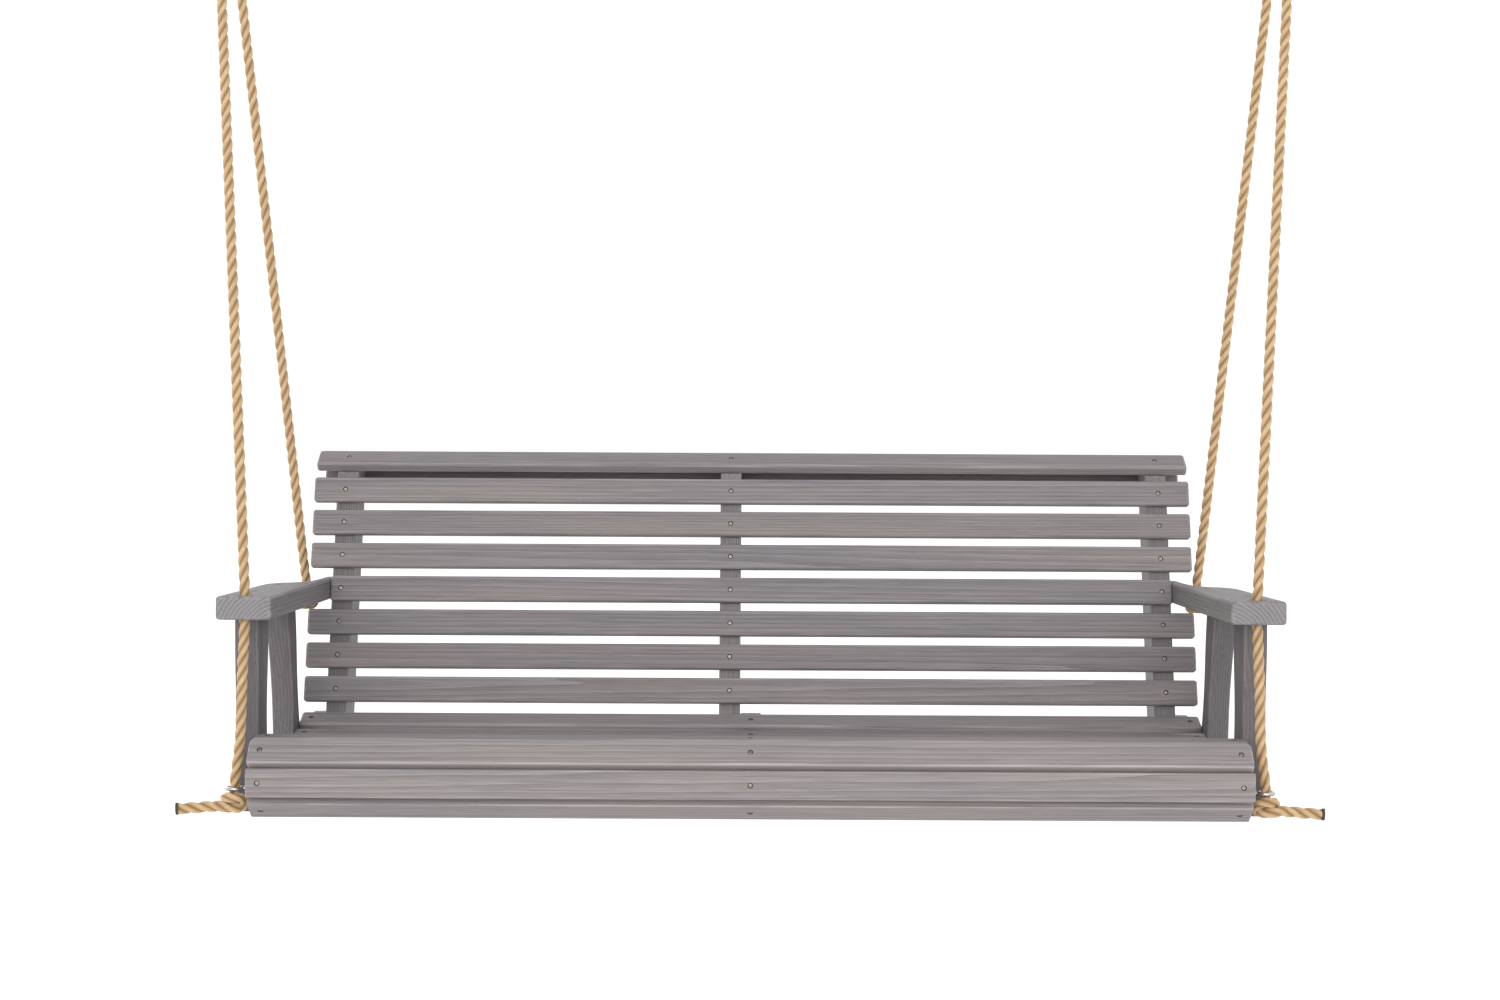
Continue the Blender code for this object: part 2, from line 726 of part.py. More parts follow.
def build_bracket(name, side, finish, parent):
    """A ceiling plate with two ears for the hanger pin, and four screws through it."""
    place = at(side * HOOK_X, 0.0, 0.0)
    half_x, half_y = PLATE_HALF
    plate = bmesh.new()
    corners = [(-half_x, -half_y), (half_x, -half_y), (half_x, half_y), (-half_x, half_y)]
    add_prism(plate, corners, 2, -PLATE_THICKNESS, 0.0)
    made = add_object(name, mesh_of(plate, name), place, finish, parent)
    ears = bmesh.new()
    root = -PLATE_THICKNESS / 2
    chamfer = EAR_HALF_Y * 0.5
    shape = [(-EAR_HALF_Y, root), (EAR_HALF_Y, root), (EAR_HALF_Y, EAR_FOOT + chamfer), (chamfer, EAR_FOOT)]
    shape += [(-chamfer, EAR_FOOT), (-EAR_HALF_Y, EAR_FOOT + chamfer)]
    add_prism(ears, shape, 0, EAR_INSIDE, EAR_OUTSIDE)
    add_prism(ears, shape, 0, -EAR_OUTSIDE, -EAR_INSIDE)
    combine(made, add_object(f"{name}_ears", mesh_of(ears, f"{name}_ears"), place, finish, parent), "UNION")
    heads = bmesh.new()
    for x, y in PLATE_SCREWS:
        lower = Matrix.Translation((x, y, root)) @ Matrix.Rotation(math.pi, 4, "X")
        profile = [(0.0, 0.0), (0.0056, 0.0), (0.0056, -root + 0.0012), (0.0044, -root + 0.0032)]
        add_turned(heads, profile + [(0.0, -root + 0.0032)], 10, lower)
    combine(made, add_object(f"{name}_screws", mesh_of(heads, f"{name}_screws"), place, finish, parent), "UNION")
    hole = bmesh.new()
    add_rod(hole, at(-0.0300, 0.0, PIN_Z) @ facing(Vector((1.0, 0.0, 0.0))), PIN_R + 0.0005, 0.0600, 16)
    combine(made, add_object(f"{name}_hole", mesh_of(hole, f"{name}_hole"), place, finish, parent), "DIFFERENCE")


def build_pin(name, side, finish, parent):
    """The bolt through a bracket's ears, which the thimble hangs on."""
    half = EAR_OUTSIDE + GAP
    head, grip = 0.0100, 0.0065
    profile = [(0.0, -half - grip), (head, -half - grip), (head, -half), (PIN_R, -half), (PIN_R, half)]
    profile += [(head, half), (head, half + grip), (0.0, half + grip)]
    matrix = at(side * HOOK_X, 0.0, PIN_Z) @ facing(Vector((1.0, 0.0, 0.0)))
    add_object(name, turned_mesh(name, profile, 12), matrix, finish, parent)


def build_frame(wood, steel, parent):
    """Rails, braces, uprights and arms, with the holes their bolts and ropes need."""
    nose, seat, back, roll = nose_slats(), seat_slats(), back_slats(), roll_slats()
    rail = board_mesh("rail", rail_outline(nose, seat))
    brace = board_mesh("brace", brace_outline(back, roll))
    posts = {name: board_mesh(name, post_outline(*sizes)) for name, sizes in POSTS.items()}
    boards = [
        build_board("centre_rail", rail, CENTRE_RAIL_X, wood, parent),
        build_board("centre_brace", brace, CENTRE_BRACE_X, wood, parent),
    ]
    for side_name, side in SIDES.items():
        boards.append(build_board(f"{side_name}_rail", rail, side * SEAT_SCREW_X, wood, parent))
        boards.append(build_board(f"{side_name}_brace", brace, side * BACK_SCREW_X, wood, parent))
        for name, mesh in posts.items():
            boards.append(build_board(f"{side_name}_{name}", mesh, side * (POST_INNER + POST_OUTER) / 2, wood, parent))
        boards.append(build_arm(f"{side_name}_arm", side, wood, parent))
    cutter = build_hole_cutter(steel, parent)
    for board in boards:
        combine(board, cutter, "DIFFERENCE")
    for slat in nose + seat + back + roll:
        build_slat(slat, wood, parent)


def build_ropes(rope, steel, twine, parent):
    """Four rope legs with their knots, eye bolts, thimbles and seizings."""
    legs = {"front": (-1, FRONT_LEG), "rear": (1, REAR_LEG)}
    for side_name, side in SIDES.items():
        for end, (toward, leg) in legs.items():
            build_rope_leg(f"{side_name}_{end}_rope", side, toward, leg, rope, parent)
            build_knot(f"{side_name}_{end}_knot", side, end, leg, rope, parent)
            build_eye_bolt(f"{side_name}_{end}_eye_bolt", side, EYES[end], steel, parent)
        build_thimble(f"{side_name}_thimble", side, steel, parent)
        build_seizing(f"{side_name}_seizing", side, twine, parent)


def build_hangers(steel, parent):
    """What stays on the ceiling: two brackets and their pins."""
    for side_name, side in SIDES.items():
        build_bracket(f"{side_name}_ceiling_bracket", side, steel, parent)
        build_pin(f"{side_name}_hanger_pin", side, steel, parent)


def main():
    clear_scene()
    wood = material("grey_pine", (0.250, 0.228, 0.222), 0.62)
    rope = material("manila_rope", (0.560, 0.380, 0.190), 0.80)
    twine = material("tarred_twine", (0.060, 0.045, 0.035), 0.85)
    steel = material("zinc_steel", (0.460, 0.450, 0.430), 0.35, 1.0)
    ceiling = add_axis("ceiling", (0.0, 0.0, 0.0))
    swing_axis = add_axis("swing_axis", (0.0, 0.0, PIN_Z))
    build_hangers(steel, ceiling)
    build_frame(wood, steel, swing_axis)
    build_frame_bolts(steel, swing_axis)
    build_ropes(rope, steel, twine, swing_axis)


main()
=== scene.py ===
"""Looks for the roll-back porch swing: grey-stained pine, laid manila rope and zinc-plated fittings.

Every piece is placed in the row frame, in metres. Bench shapes are written in the bench frame, whose
y is 0 at the face of the front slat and whose z is 0 at the top of the back.
"""

import functools
import itertools
import math

import bmesh
import bpy
import numpy as np
from mathutils import Matrix, Vector


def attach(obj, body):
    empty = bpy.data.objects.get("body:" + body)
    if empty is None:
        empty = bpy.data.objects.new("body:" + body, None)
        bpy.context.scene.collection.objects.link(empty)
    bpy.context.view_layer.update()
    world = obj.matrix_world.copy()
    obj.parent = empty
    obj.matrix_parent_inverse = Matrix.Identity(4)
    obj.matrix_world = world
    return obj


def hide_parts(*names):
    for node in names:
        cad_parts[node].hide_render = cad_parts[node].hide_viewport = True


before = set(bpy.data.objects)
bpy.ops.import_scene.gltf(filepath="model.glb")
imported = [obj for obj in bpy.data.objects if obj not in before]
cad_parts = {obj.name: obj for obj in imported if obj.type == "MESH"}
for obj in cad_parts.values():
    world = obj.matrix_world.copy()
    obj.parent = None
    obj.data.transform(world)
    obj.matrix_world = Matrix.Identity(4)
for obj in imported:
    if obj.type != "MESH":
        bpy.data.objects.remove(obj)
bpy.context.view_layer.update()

GAP = 0.0003
HOOK_X = 0.9578
HANG_Y = 0.3787
PIN_Z = -0.0500
THIMBLE_Z = PIN_Z - 0.0057
HOOK_HEIGHT = 1.3036
BACK_TOP_Z = THIMBLE_Z - 0.0100 - HOOK_HEIGHT
SWAY = math.atan((HOOK_X - 0.8137) / 1.5460)
BENCH = Vector((0.0, -HANG_Y, BACK_TOP_Z))
SIDES = {"left": -1, "right": 1}
SWING = "swing"
HANGERS = "hangers"
IDENTITY = Matrix.Identity(4)


def add_object(name, data, matrix):
    """Link a new object that holds some data, and place it."""
    made = bpy.data.objects.new(name, data)
    bpy.context.scene.collection.objects.link(made)
    made.matrix_world = matrix
    return made


def mesh_of(bm, name):
    """A mesh made from a bmesh, which is then freed."""
    mesh = bpy.data.meshes.new(name)
    bm.to_mesh(mesh)
    bm.free()
    return mesh

# ---------------------------------------------------------------- camera, light and stage

LENS_MM = 55.776
SENSOR_MM = 36.0
LENS_SHIFT = (-0.001333, -0.032)
CAMERA_ROLL = math.radians(0.29)
EYE_DISTANCE = 3.690
FLOOR_Z = -2.45
FLOOR_SIZE = 24.0
FLOOR_GREY = 0.95
WORLD_STRENGTH = 1.05
# Each light: the way it shines, its strength and its spread in degrees.
SUNS = {
    "key": ((0.14, 1.0, -0.08), 1.5, 50.0),
    "fill": ((-0.18, 1.0, 0.26), 1.4, 70.0),
    "back": ((0.40, -1.0, -0.50), 1.0, 90.0),
}


def build_camera():
    """A level camera at the height of the top of the back, rolled a little."""
    data = bpy.data.cameras.new("camera")
    data.lens = LENS_MM
    data.sensor_width = SENSOR_MM
    data.shift_x, data.shift_y = LENS_SHIFT
    data.clip_end = 60.0
    turn = Matrix.Rotation(math.radians(90.0), 4, "X") @ Matrix.Rotation(CAMERA_ROLL, 4, "Z")
    eye = Matrix.Translation((0.0, -HANG_Y - EYE_DISTANCE, BACK_TOP_Z))
    bpy.context.scene.camera = add_object("camera", data, eye @ turn)


def soft_sun(name, toward, strength, spread):
    """A broad even light along a direction."""
    data = bpy.data.lights.new(name, "SUN")
    data.energy = strength
    data.angle = math.radians(spread)
    add_object(name, data, Vector(toward).to_track_quat("-Z", "Y").to_matrix().to_4x4())


def build_stage():
    """A pale floor under a white world, two broad lights from the front and one from behind."""
    world = bpy.data.worlds.new("world")
    bpy.context.scene.world = world
    world.use_nodes = True
    background = world.node_tree.nodes["Background"]
    background.inputs["Color"].default_value = (1.0, 1.0, 1.0, 1.0)
    background.inputs["Strength"].default_value = WORLD_STRENGTH
    bpy.context.scene.view_settings.view_transform = "Standard"
    bm = bmesh.new()
    bmesh.ops.create_grid(bm, x_segments=8, y_segments=8, size=FLOOR_SIZE)
    floor = add_object("floor", mesh_of(bm, "floor"), Matrix.Translation((0.0, 0.0, FLOOR_Z)))
    paint = bpy.data.materials.new("floor_paint")
    paint.use_nodes = True
    shader = paint.node_tree.nodes["Principled BSDF"]
    shader.inputs["Base Color"].default_value = (FLOOR_GREY, FLOOR_GREY, FLOOR_GREY, 1.0)
    shader.inputs["Roughness"].default_value = 0.9
    floor.data.materials.append(paint)
    for name, (toward, strength, spread) in SUNS.items():
        soft_sun(name, toward, strength, spread)


build_camera()
build_stage()

# ---------------------------------------------------------------- materials


def put(tree, kind, sockets=None, **settings):
    """Add a shader node, set its properties, and fill or link its sockets."""
    node = tree.nodes.new(kind)
    for key, value in settings.items():
        setattr(node, key, value)
    for key, value in (sockets or {}).items():
        if isinstance(value, bpy.types.NodeSocket):
            tree.links.new(value, node.inputs[key])
        else:
            node.inputs[key].default_value = value
    return node


def math_node(tree, operation, first, second=0.0):
    """One Math node's output."""
    return put(tree, "ShaderNodeMath", {0: first, 1: second}, operation=operation).outputs[0]


def product(tree, first, second):
    """The product of two values."""
    return math_node(tree, "MULTIPLY", first, second)


def mix_colour(tree, share, first, second):
    """One colour Mix node's output."""
    return put(tree, "ShaderNodeMix", {0: share, 6: first, 7: second}, data_type="RGBA").outputs[2]


def layered(tree, field, layers):
    """Lay colours over a field in turn. Each layer is (share, strength, colour)."""
    for share, strength, over in layers:
        field = mix_colour(tree, product(tree, share, strength), field, over)
    return field


def noise(tree, vector, scale, detail=2.0, roughness=0.5):
    """One Noise node's value."""
    sockets = {"Vector": vector, "Scale": scale, "Detail": detail, "Roughness": roughness}
    return put(tree, "ShaderNodeTexNoise", sockets).outputs[0]


def remap(tree, value, low, high, to_low=0.0, to_high=1.0):
    """One Map Range node's output."""
    sockets = {0: value, 1: low, 2: high, 3: to_low, 4: to_high}
    return put(tree, "ShaderNodeMapRange", sockets, clamp=True).outputs[0]


def colour(value):
    """A linear colour with its alpha."""
    return (*value, 1.0)


def tint(base, *factors):
    """A base colour times one factor, or times one for each channel, with its alpha."""
    factors = factors if len(factors) == 3 else factors * 3
    return colour([min(1.0, c * f) for c, f in zip(base, factors)])


def stretched(tree, vector, scale):
    """Coordinates scaled along each axis."""
    return put(tree, "ShaderNodeMapping", {"Vector": vector, "Scale": scale}).outputs[0]


def add_bump(tree, shader, height, strength, distance):
    """Raise a shader's surface by a height."""
    bump = put(tree, "ShaderNodeBump", {"Height": height, "Strength": strength, "Distance": distance})
    tree.links.new(bump.outputs[0], shader.inputs["Normal"])


def shader_of(name):
    """A new material's node tree and its shader."""
    made = bpy.data.materials.new(name)
    made.use_nodes = True
    return made, made.node_tree, made.node_tree.nodes["Principled BSDF"]


def wood(name, base, seed, wear, ring_scale=72.0, pith=None, edge_light_share=0.0):
    """Stained pine whose grain runs along the piece's own X. Each seed is another part of the log.

    The edge light share says how much paler than the face the long sawn edges are painted: painted light on
    an underside that lies in shade.
    """
    made, tree, shader = shader_of(name)
    spot = np.random.default_rng(seed).uniform(-1.0, 1.0, 6)
    coordinates = put(tree, "ShaderNodeTexCoord")
    pith = pith or (math.copysign(0.030, spot[1]) + 0.016 * spot[5], 0.045 + 0.020 * spot[2])
    sockets = {
        "Vector": coordinates.outputs["Object"],
        "Location": (3.0 * spot[0], *pith),
        "Rotation": (0.0, 0.005 * spot[3], 0.004 * spot[4]),
    }
    log = put(tree, "ShaderNodeMapping", sockets).outputs[0]
    drawn = stretched(tree, log, (0.050, 1.0, 1.0))
    fine = stretched(tree, log, (0.008, 1.0, 1.0))
    sockets = {"Vector": drawn, "Scale": ring_scale, "Distortion": 5.0, "Detail": 2.0, "Detail Scale": 0.34}
    kinds = {"wave_type": "RINGS", "rings_direction": "X", "wave_profile": "SAW"}
    rings = put(tree, "ShaderNodeTexWave", sockets, **kinds).outputs["Fac"]
    normal = put(tree, "ShaderNodeSeparateXYZ", {0: coordinates.outputs["Normal"]}).outputs
    end_grain = remap(tree, math_node(tree, "ABSOLUTE", normal[0]), 0.75, 0.95)
    sawn_edge_light = remap(tree, math_node(tree, "ABSOLUTE", normal[1]), 0.45, 0.95)
    late = math_node(tree, "POWER", rings, remap(tree, end_grain, 0.0, 1.0, 3.0, 1.5))
    early = math_node(tree, "POWER", math_node(tree, "SUBTRACT", 1.0, rings), 4.0)
    fibre = noise(tree, fine, 1500.0, 3.0, 0.62)
    streak = noise(tree, fine, 420.0, 3.0, 0.6)
    patch = noise(tree, drawn, 22.0, 2.0, 0.5)
    rubbed = remap(tree, noise(tree, drawn, 90.0, 3.0, 0.6), 0.40, 0.62, 0.05, 1.0)
    edge = put(tree, "ShaderNodeAttribute", attribute_name="edge").outputs["Fac"]
    light, dark = tint(base, 1.62, 1.62, 1.66), tint(base, 0.50)
    low, high = tint(base, 0.84, 0.85, 0.90), tint(base, 1.13, 1.08, 1.03)
    layers = [
        (end_grain, 0.10, light),
        (late, remap(tree, end_grain, 0.0, 1.0, 0.42, 0.95), light),
        (early, 0.42, dark),
        (remap(tree, streak, 0.50, 0.72), 0.50, dark),
        (remap(tree, fibre, 0.50, 0.70), 0.50, dark),
        (remap(tree, fibre, 0.46, 0.30), 0.40, light),
        # painted light: the long sawn edges drawn paler, lighting the shaded lower edge of a nose slat
        (sawn_edge_light, edge_light_share, tint(base, 1.90, 1.88, 1.86)),
        (product(tree, edge, rubbed), wear, tint(base, 2.30, 2.25, 2.20)),
    ]
    field = layered(tree, mix_colour(tree, remap(tree, patch, 0.35, 0.66), low, high), layers)
    tree.links.new(field, shader.inputs["Base Color"])
    tree.links.new(remap(tree, fibre, 0.25, 0.75, 0.50, 0.74), shader.inputs["Roughness"])
    shader.inputs["Specular IOR Level"].default_value = 0.32
    height = math_node(tree, "ADD", product(tree, fibre, 0.7), product(tree, late, 0.55))
    add_bump(tree, shader, height, 0.45, 0.0007)
    return made


def rope_material():
    """Laid manila: pale crowns, grooves darkened by painted shade and dirt, and fibres that run nearly along
    the rope.
    """
    made, tree, shader = shader_of("manila")
    lay = put(tree, "ShaderNodeAttribute", attribute_name="lay").outputs["Vector"]
    groove = put(tree, "ShaderNodeAttribute", attribute_name="groove").outputs["Fac"]
    along = stretched(tree, lay, (1.0, 1.0, 0.055))
    yarn = noise(tree, along, 900.0, 2.0, 0.6)
    hair = noise(tree, along, 3600.0, 2.0, 0.6)
    tone = noise(tree, lay, 45.0, 2.0, 0.5)
    low, high = colour((0.475, 0.315, 0.160)), colour((0.580, 0.405, 0.220))
    layers = [
        (remap(tree, yarn, 0.42, 0.66), 0.55, colour((0.400, 0.235, 0.095))),
        (remap(tree, hair, 0.52, 0.70), 0.60, colour((0.860, 0.670, 0.420))),
        # painted shade and dirt: the deeper in a groove between strands, the darker
        (math_node(tree, "POWER", groove, 1.7), 0.95, colour((0.170, 0.088, 0.034))),
    ]
    field = layered(tree, mix_colour(tree, remap(tree, tone, 0.35, 0.65), low, high), layers)
    tree.links.new(field, shader.inputs["Base Color"])
    tree.links.new(remap(tree, hair, 0.3, 0.7, 0.62, 0.88), shader.inputs["Roughness"])
    shader.inputs["Specular IOR Level"].default_value = 0.30
    shader.inputs["Sheen Weight"].default_value = 0.25
    shader.inputs["Sheen Roughness"].default_value = 0.5
    add_bump(tree, shader, math_node(tree, "ADD", yarn, product(tree, hair, 0.5)), 0.6, 0.0007)
    return made


def twine_material(name, base):
    """Waxed twine, tape, or painted shade for the lining of screw pockets, with a fine ribbed surface."""
    made, tree, shader = shader_of(name)
    grain = noise(tree, put(tree, "ShaderNodeTexCoord").outputs["Object"], 1500.0, 3.0, 0.6)
    light = colour([c * 2.2 + 0.01 for c in base])
    field = mix_colour(tree, remap(tree, grain, 0.40, 0.70), colour(base), light)
    tree.links.new(field, shader.inputs["Base Color"])
    tree.links.new(remap(tree, grain, 0.3, 0.7, 0.55, 0.85), shader.inputs["Roughness"])
    add_bump(tree, shader, grain, 0.4, 0.0003)
    return made


def metal(name, base, rough, tarnish):
    """Plated steel with cloudy crystals, fine scratches and some tarnish."""
    made, tree, shader = shader_of(name)
    place = put(tree, "ShaderNodeTexCoord").outputs["Object"]
    cloud = noise(tree, place, 120.0, 3.0, 0.6)
    speck = noise(tree, place, 900.0, 2.0, 0.6)
    worn = mix_colour(tree, remap(tree, cloud, 0.38, 0.66), colour(base), tint(base, 0.72))
    stain = (remap(tree, speck, 0.56, 0.72), tarnish, colour((0.12, 0.075, 0.045)))
    tree.links.new(layered(tree, worn, [stain]), shader.inputs["Base Color"])
    tree.links.new(remap(tree, speck, 0.3, 0.7, rough * 0.75, rough * 1.35), shader.inputs["Roughness"])
    shader.inputs["Metallic"].default_value = 1.0
    add_bump(tree, shader, speck, 0.25, 0.0002)
    return made


MANILA = rope_material()
TWINE = twine_material("seizing_twine", (0.050, 0.036, 0.026))
TAPE = twine_material("end_tape", (0.020, 0.017, 0.016))
ZINC = metal("zinc_plate", (0.60, 0.59, 0.57), 0.34, 0.25)
SCREW_METAL = metal("screw_metal", (0.33, 0.28, 0.24), 0.38, 0.50)
# Near-black lining for screw pockets: painted shade in the recesses
POCKET_SHADE = twine_material("pocket_shade", (0.022, 0.017, 0.015))
# One grey stain in lit and shaded copies: the paler nose copy and the darker back, post and arm copies are
# painted light and shade, fitted to how bright each group of boards looks
TONES = {
    "nose_timber": (0.226, 0.208, 0.205),
    "front_timber": (0.210, 0.193, 0.191),
    "back_timber": (0.188, 0.172, 0.173),
    "frame_timber": (0.196, 0.184, 0.185),
    "post_timber": (0.140, 0.129, 0.129),
    "arm_timber": (0.176, 0.167, 0.169),
}

# Rings per metre, and where the pith lies, in the two logs that the arms are cut from.
ARM_LOGS = {"left_arm": (54.0, (0.066, 0.062)), "right_arm": (50.0, (-0.062, 0.058))}

# ---------------------------------------------------------------- meshes


def facing(direction):
    """A rotation whose local Z runs along a direction."""
    return Vector(direction).to_track_quat("Z", "Y").to_matrix().to_4x4()


def add_piece(name, bm, matrix, material, body, nodes=(), smooth=40.0):
    """Finish a mesh as a piece: place it, shade it, hang it from the body that it rides on, and hide the
    parts that it stands for.
    """
    bmesh.ops.recalc_face_normals(bm, faces=bm.faces)
    mesh = mesh_of(bm, name)
    mesh.shade_smooth()
    mesh.set_sharp_from_angle(angle=math.radians(smooth))
    mesh.materials.append(material)
    made = add_object(name, mesh, matrix)
    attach(made, body)
    if nodes:
        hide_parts(*nodes)
    return made


def bridge(bm, rings, segments):
    """Join each ring of vertices to the next, fanning where a ring is a single point."""
    for lower, upper in zip(rings, rings[1:]):
        for k in range(segments):
            j = (k + 1) % segments
            if len(lower) == 1:
                bm.faces.new((lower[0], upper[k], upper[j]))
            elif len(upper) == 1:
                bm.faces.new((lower[k], lower[j], upper[0]))
            else:
                bm.faces.new((lower[k], lower[j], upper[j], upper[k]))


def skin(bm, rings):
    """Join rings of vertices into a tube with a face on each end."""
    bridge(bm, rings, len(rings[0]))
    bm.faces.new(rings[0])
    bm.faces.new(rings[-1])


def add_ring(bm, matrix, height, reach, segments):
    """Add a ring of vertices about local Z. Its reach is a radius, or gives one for each angle."""
    if reach == 0.0:
        return [bm.verts.new(matrix @ Vector((0.0, 0.0, height)))]
    made = []
    for k in range(segments):
        turn = 2 * math.pi * k / segments
        radius = reach(turn) if callable(reach) else reach
        made.append(bm.verts.new(matrix @ Vector((radius * math.cos(turn), radius * math.sin(turn), height))))
    return made


def add_turned(bm, profile, segments, matrix, closed=False):
    """Add a solid turned about local Z from (radius, height) pairs; radius 0 closes an end."""
    rings = [add_ring(bm, matrix, height, radius, segments) for radius, height in profile]
    if closed:
        rings.append(rings[0])
    bridge(bm, rings, segments)


def flat_ring(inner, outer, low, high):
    """Profile of a washer, which closes on itself."""
    return [(inner, low), (outer, low), (outer, high), (inner, high)]


def ease_edges(bm, width):
    """Round every sharp edge, and mark the middle of each rounding for wear."""
    bmesh.ops.recalc_face_normals(bm, faces=bm.faces)
    sharp = [e for e in bm.edges if len(e.link_faces) == 2 and e.calc_face_angle() > math.radians(30)]
    looks = {"segments": 4, "profile": 0.5, "affect": "EDGES", "clamp_overlap": True}
    rounded = set(bmesh.ops.bevel(bm, geom=sharp, offset=width, **looks)["faces"])
    layer = bm.verts.layers.float.new("edge")
    for vert in bm.verts:
        vert[layer] = 1.0 if all(face in rounded for face in vert.link_faces) else 0.0


def weigh_normals(item):
    """Keep the broad faces of a board flat beside its rounded edges."""
    made = item.modifiers.new("normals", "WEIGHTED_NORMAL")
    made.weight = 50
    made.keep_sharp = True


def cut(item, bm, name, material=None):
    """Cut the bodies of a bmesh, in the piece's own frame, out of the piece, lined with a material."""
    bmesh.ops.recalc_face_normals(bm, faces=bm.faces)
    tool = add_object(name, mesh_of(bm, name), item.matrix_world)
    tool.data.materials.append(material or item.data.materials[0])
    made = item.modifiers.new("pockets", "BOOLEAN")
    made.operation = "DIFFERENCE"
    made.object = tool
    made.solver = "EXACT"
    made.material_mode = "TRANSFER"
    bpy.context.view_layer.update()
    shape = bpy.data.meshes.new_from_object(item.evaluated_get(bpy.context.evaluated_depsgraph_get()))
    item.modifiers.remove(made)
    item.data = shape
    bpy.data.objects.remove(tool, do_unlink=True)


# ---------------------------------------------------------------- timber

SLAT_WIDTH = 0.0460
SLAT_THICKNESS = 0.0190
SLAT_EASE = 0.0052
NOSE_EASE = {"nose_slat_upper": 0.0034, "nose_slat_front": 0.0024, "nose_slat_lower": 0.0024}
# Painted light on the long sawn edges of a nose slat, whose lower edge lies in shade
NOSE_EDGE_LIGHT = {"nose_slat_upper": 0.85}
SLAT_HALF = 0.8030
BOARD = 0.0380
RAIL_OUTER = 0.8030
RAIL_INNER = RAIL_OUTER - BOARD
BRACE_OUTER = RAIL_INNER - GAP
BRACE_INNER = BRACE_OUTER - BOARD
POST_INNER = RAIL_OUTER + GAP
POST_OUTER = POST_INNER + BOARD
ARM_TOP = -0.2341
ARM_BOTTOM = ARM_TOP - BOARD
RAIL_BOTTOM = -0.5920
RAIL_REAR = 0.6000
RAIL_TAPER = (0.2500, -0.5450)
RAIL_TAIL_TOP = -0.4800
BRACE_DEPTH = 0.0820
BRACE_FOOT = -0.5550
CENTRE_BRACE_X = -BOARD - GAP
SEAT_SCREW_X = 0.5 * (RAIL_INNER + RAIL_OUTER)
BACK_SCREW_X = 0.5 * (BRACE_INNER + BRACE_OUTER)
SEAT_SCREWS = (-SEAT_SCREW_X, 0.0, SEAT_SCREW_X)
BACK_SCREWS = (-BACK_SCREW_X, CENTRE_BRACE_X, BACK_SCREW_X)
BACK_LEAN = 14.6
RECLINE = math.radians(BACK_LEAN)
BACK_FIRST_Y, BACK_FIRST_Z, BACK_PITCH = 0.4830, -0.4280, 0.0594
SEAT_FIRST_Y, SEAT_LOW_Y, SEAT_LAST_Y = 0.0750, 0.3290, 0.4560
SEAT_CREST_Z, SEAT_LOW_Z, SEAT_RISE = -0.4630, -0.5020, 0.0250
NOSE_CORNER = 0.0100
POCKET_R = 0.0040
POCKET_DEPTH = 0.0012
SCREW_SINK = 0.0007
HOLE_FLARE = 0.0022

NOSE = [
    ("nose_slat_lower", 0.0306, -0.5785, -54.0),
    ("nose_slat_front", 0.0000, -0.5300, 0.0),
    ("nose_slat_upper", 0.0205, -0.4793, 39.0),
]
ROLL = [
    ("roll_slat_front", 0.6153, -0.0125, 57.0),
    ("roll_slat_top", 0.6742, -0.0050, 100.0),
    ("roll_slat_rear", 0.7025, -0.0630, 194.6),
]
ARM_EDGE = [
    (0.8543, 0.0120),
    (0.8515, 0.2000),
    (0.8505, 0.3450),
    (0.8470, 0.3740),
    (0.8330, 0.4000),
    (0.8110, 0.4180),
    (0.7970, 0.4380),
    (0.7905, 0.4700),
    (0.7873, 0.5200),
    (0.7873, 0.6100),
]
POSTS = {"front_post": (0.1385, 0.1385, 0.0870), "rear_post": (0.3740, 0.4500, 0.0670)}
POST_FOOT, POST_WAIST, WAIST_TOP, WAIST_FOOT = -0.5900, 0.0100, -0.3000, -0.5600
POST_MIDDLE = 0.5 * (POST_INNER + POST_OUTER)
ARM_SCREWS = [(POST_MIDDLE, top_y + shift) for top_y, _, _ in POSTS.values() for shift in (-0.022, 0.022)]
ROPE_HOLE = (0.8137, 0.0462)
ROPE_HOLE_R = 0.0130
ARM_EASE = 0.0058


def seat_line():
    """Centre and lean of each dished seat slat, front to back."""
    made = []
    for i in range(7):
        y = SEAT_FIRST_Y + (SEAT_LAST_Y - SEAT_FIRST_Y) * i / 6
        if y < SEAT_LOW_Y:
            span, fall = SEAT_LOW_Y - SEAT_FIRST_Y, SEAT_CREST_Z - SEAT_LOW_Z
            phase = math.pi * (y - SEAT_FIRST_Y) / span
            z = SEAT_CREST_Z - fall * (1 - math.cos(phase)) / 2
            slope = -fall * math.pi / span * math.sin(phase) / 2
        else:
            gain = SEAT_RISE / (SEAT_LAST_Y - SEAT_LOW_Y) ** 2
            z, slope = SEAT_LOW_Z + gain * (y - SEAT_LOW_Y) ** 2, 2 * gain * (y - SEAT_LOW_Y)
        made.append((f"seat_slat_{i + 1}", y, z, 90.0 - math.degrees(math.atan(slope))))
    return made


def back_line():
    """Centre and lean of each back slat, from the lowest up."""
    made = []
    for i in range(7):
        rise = BACK_PITCH * i
        y = BACK_FIRST_Y + rise * math.tan(RECLINE)
        made.append((f"back_slat_{i + 1}", y, BACK_FIRST_Z + rise, BACK_LEAN))
    return made


SEAT = seat_line()
BACK = back_line()


def lean_axes(lean):
    """Directions along a slat's width and out of its face."""
    turn = math.radians(lean)
    return Vector((0.0, math.sin(turn), math.cos(turn))), Vector((0.0, -math.cos(turn), math.sin(turn)))


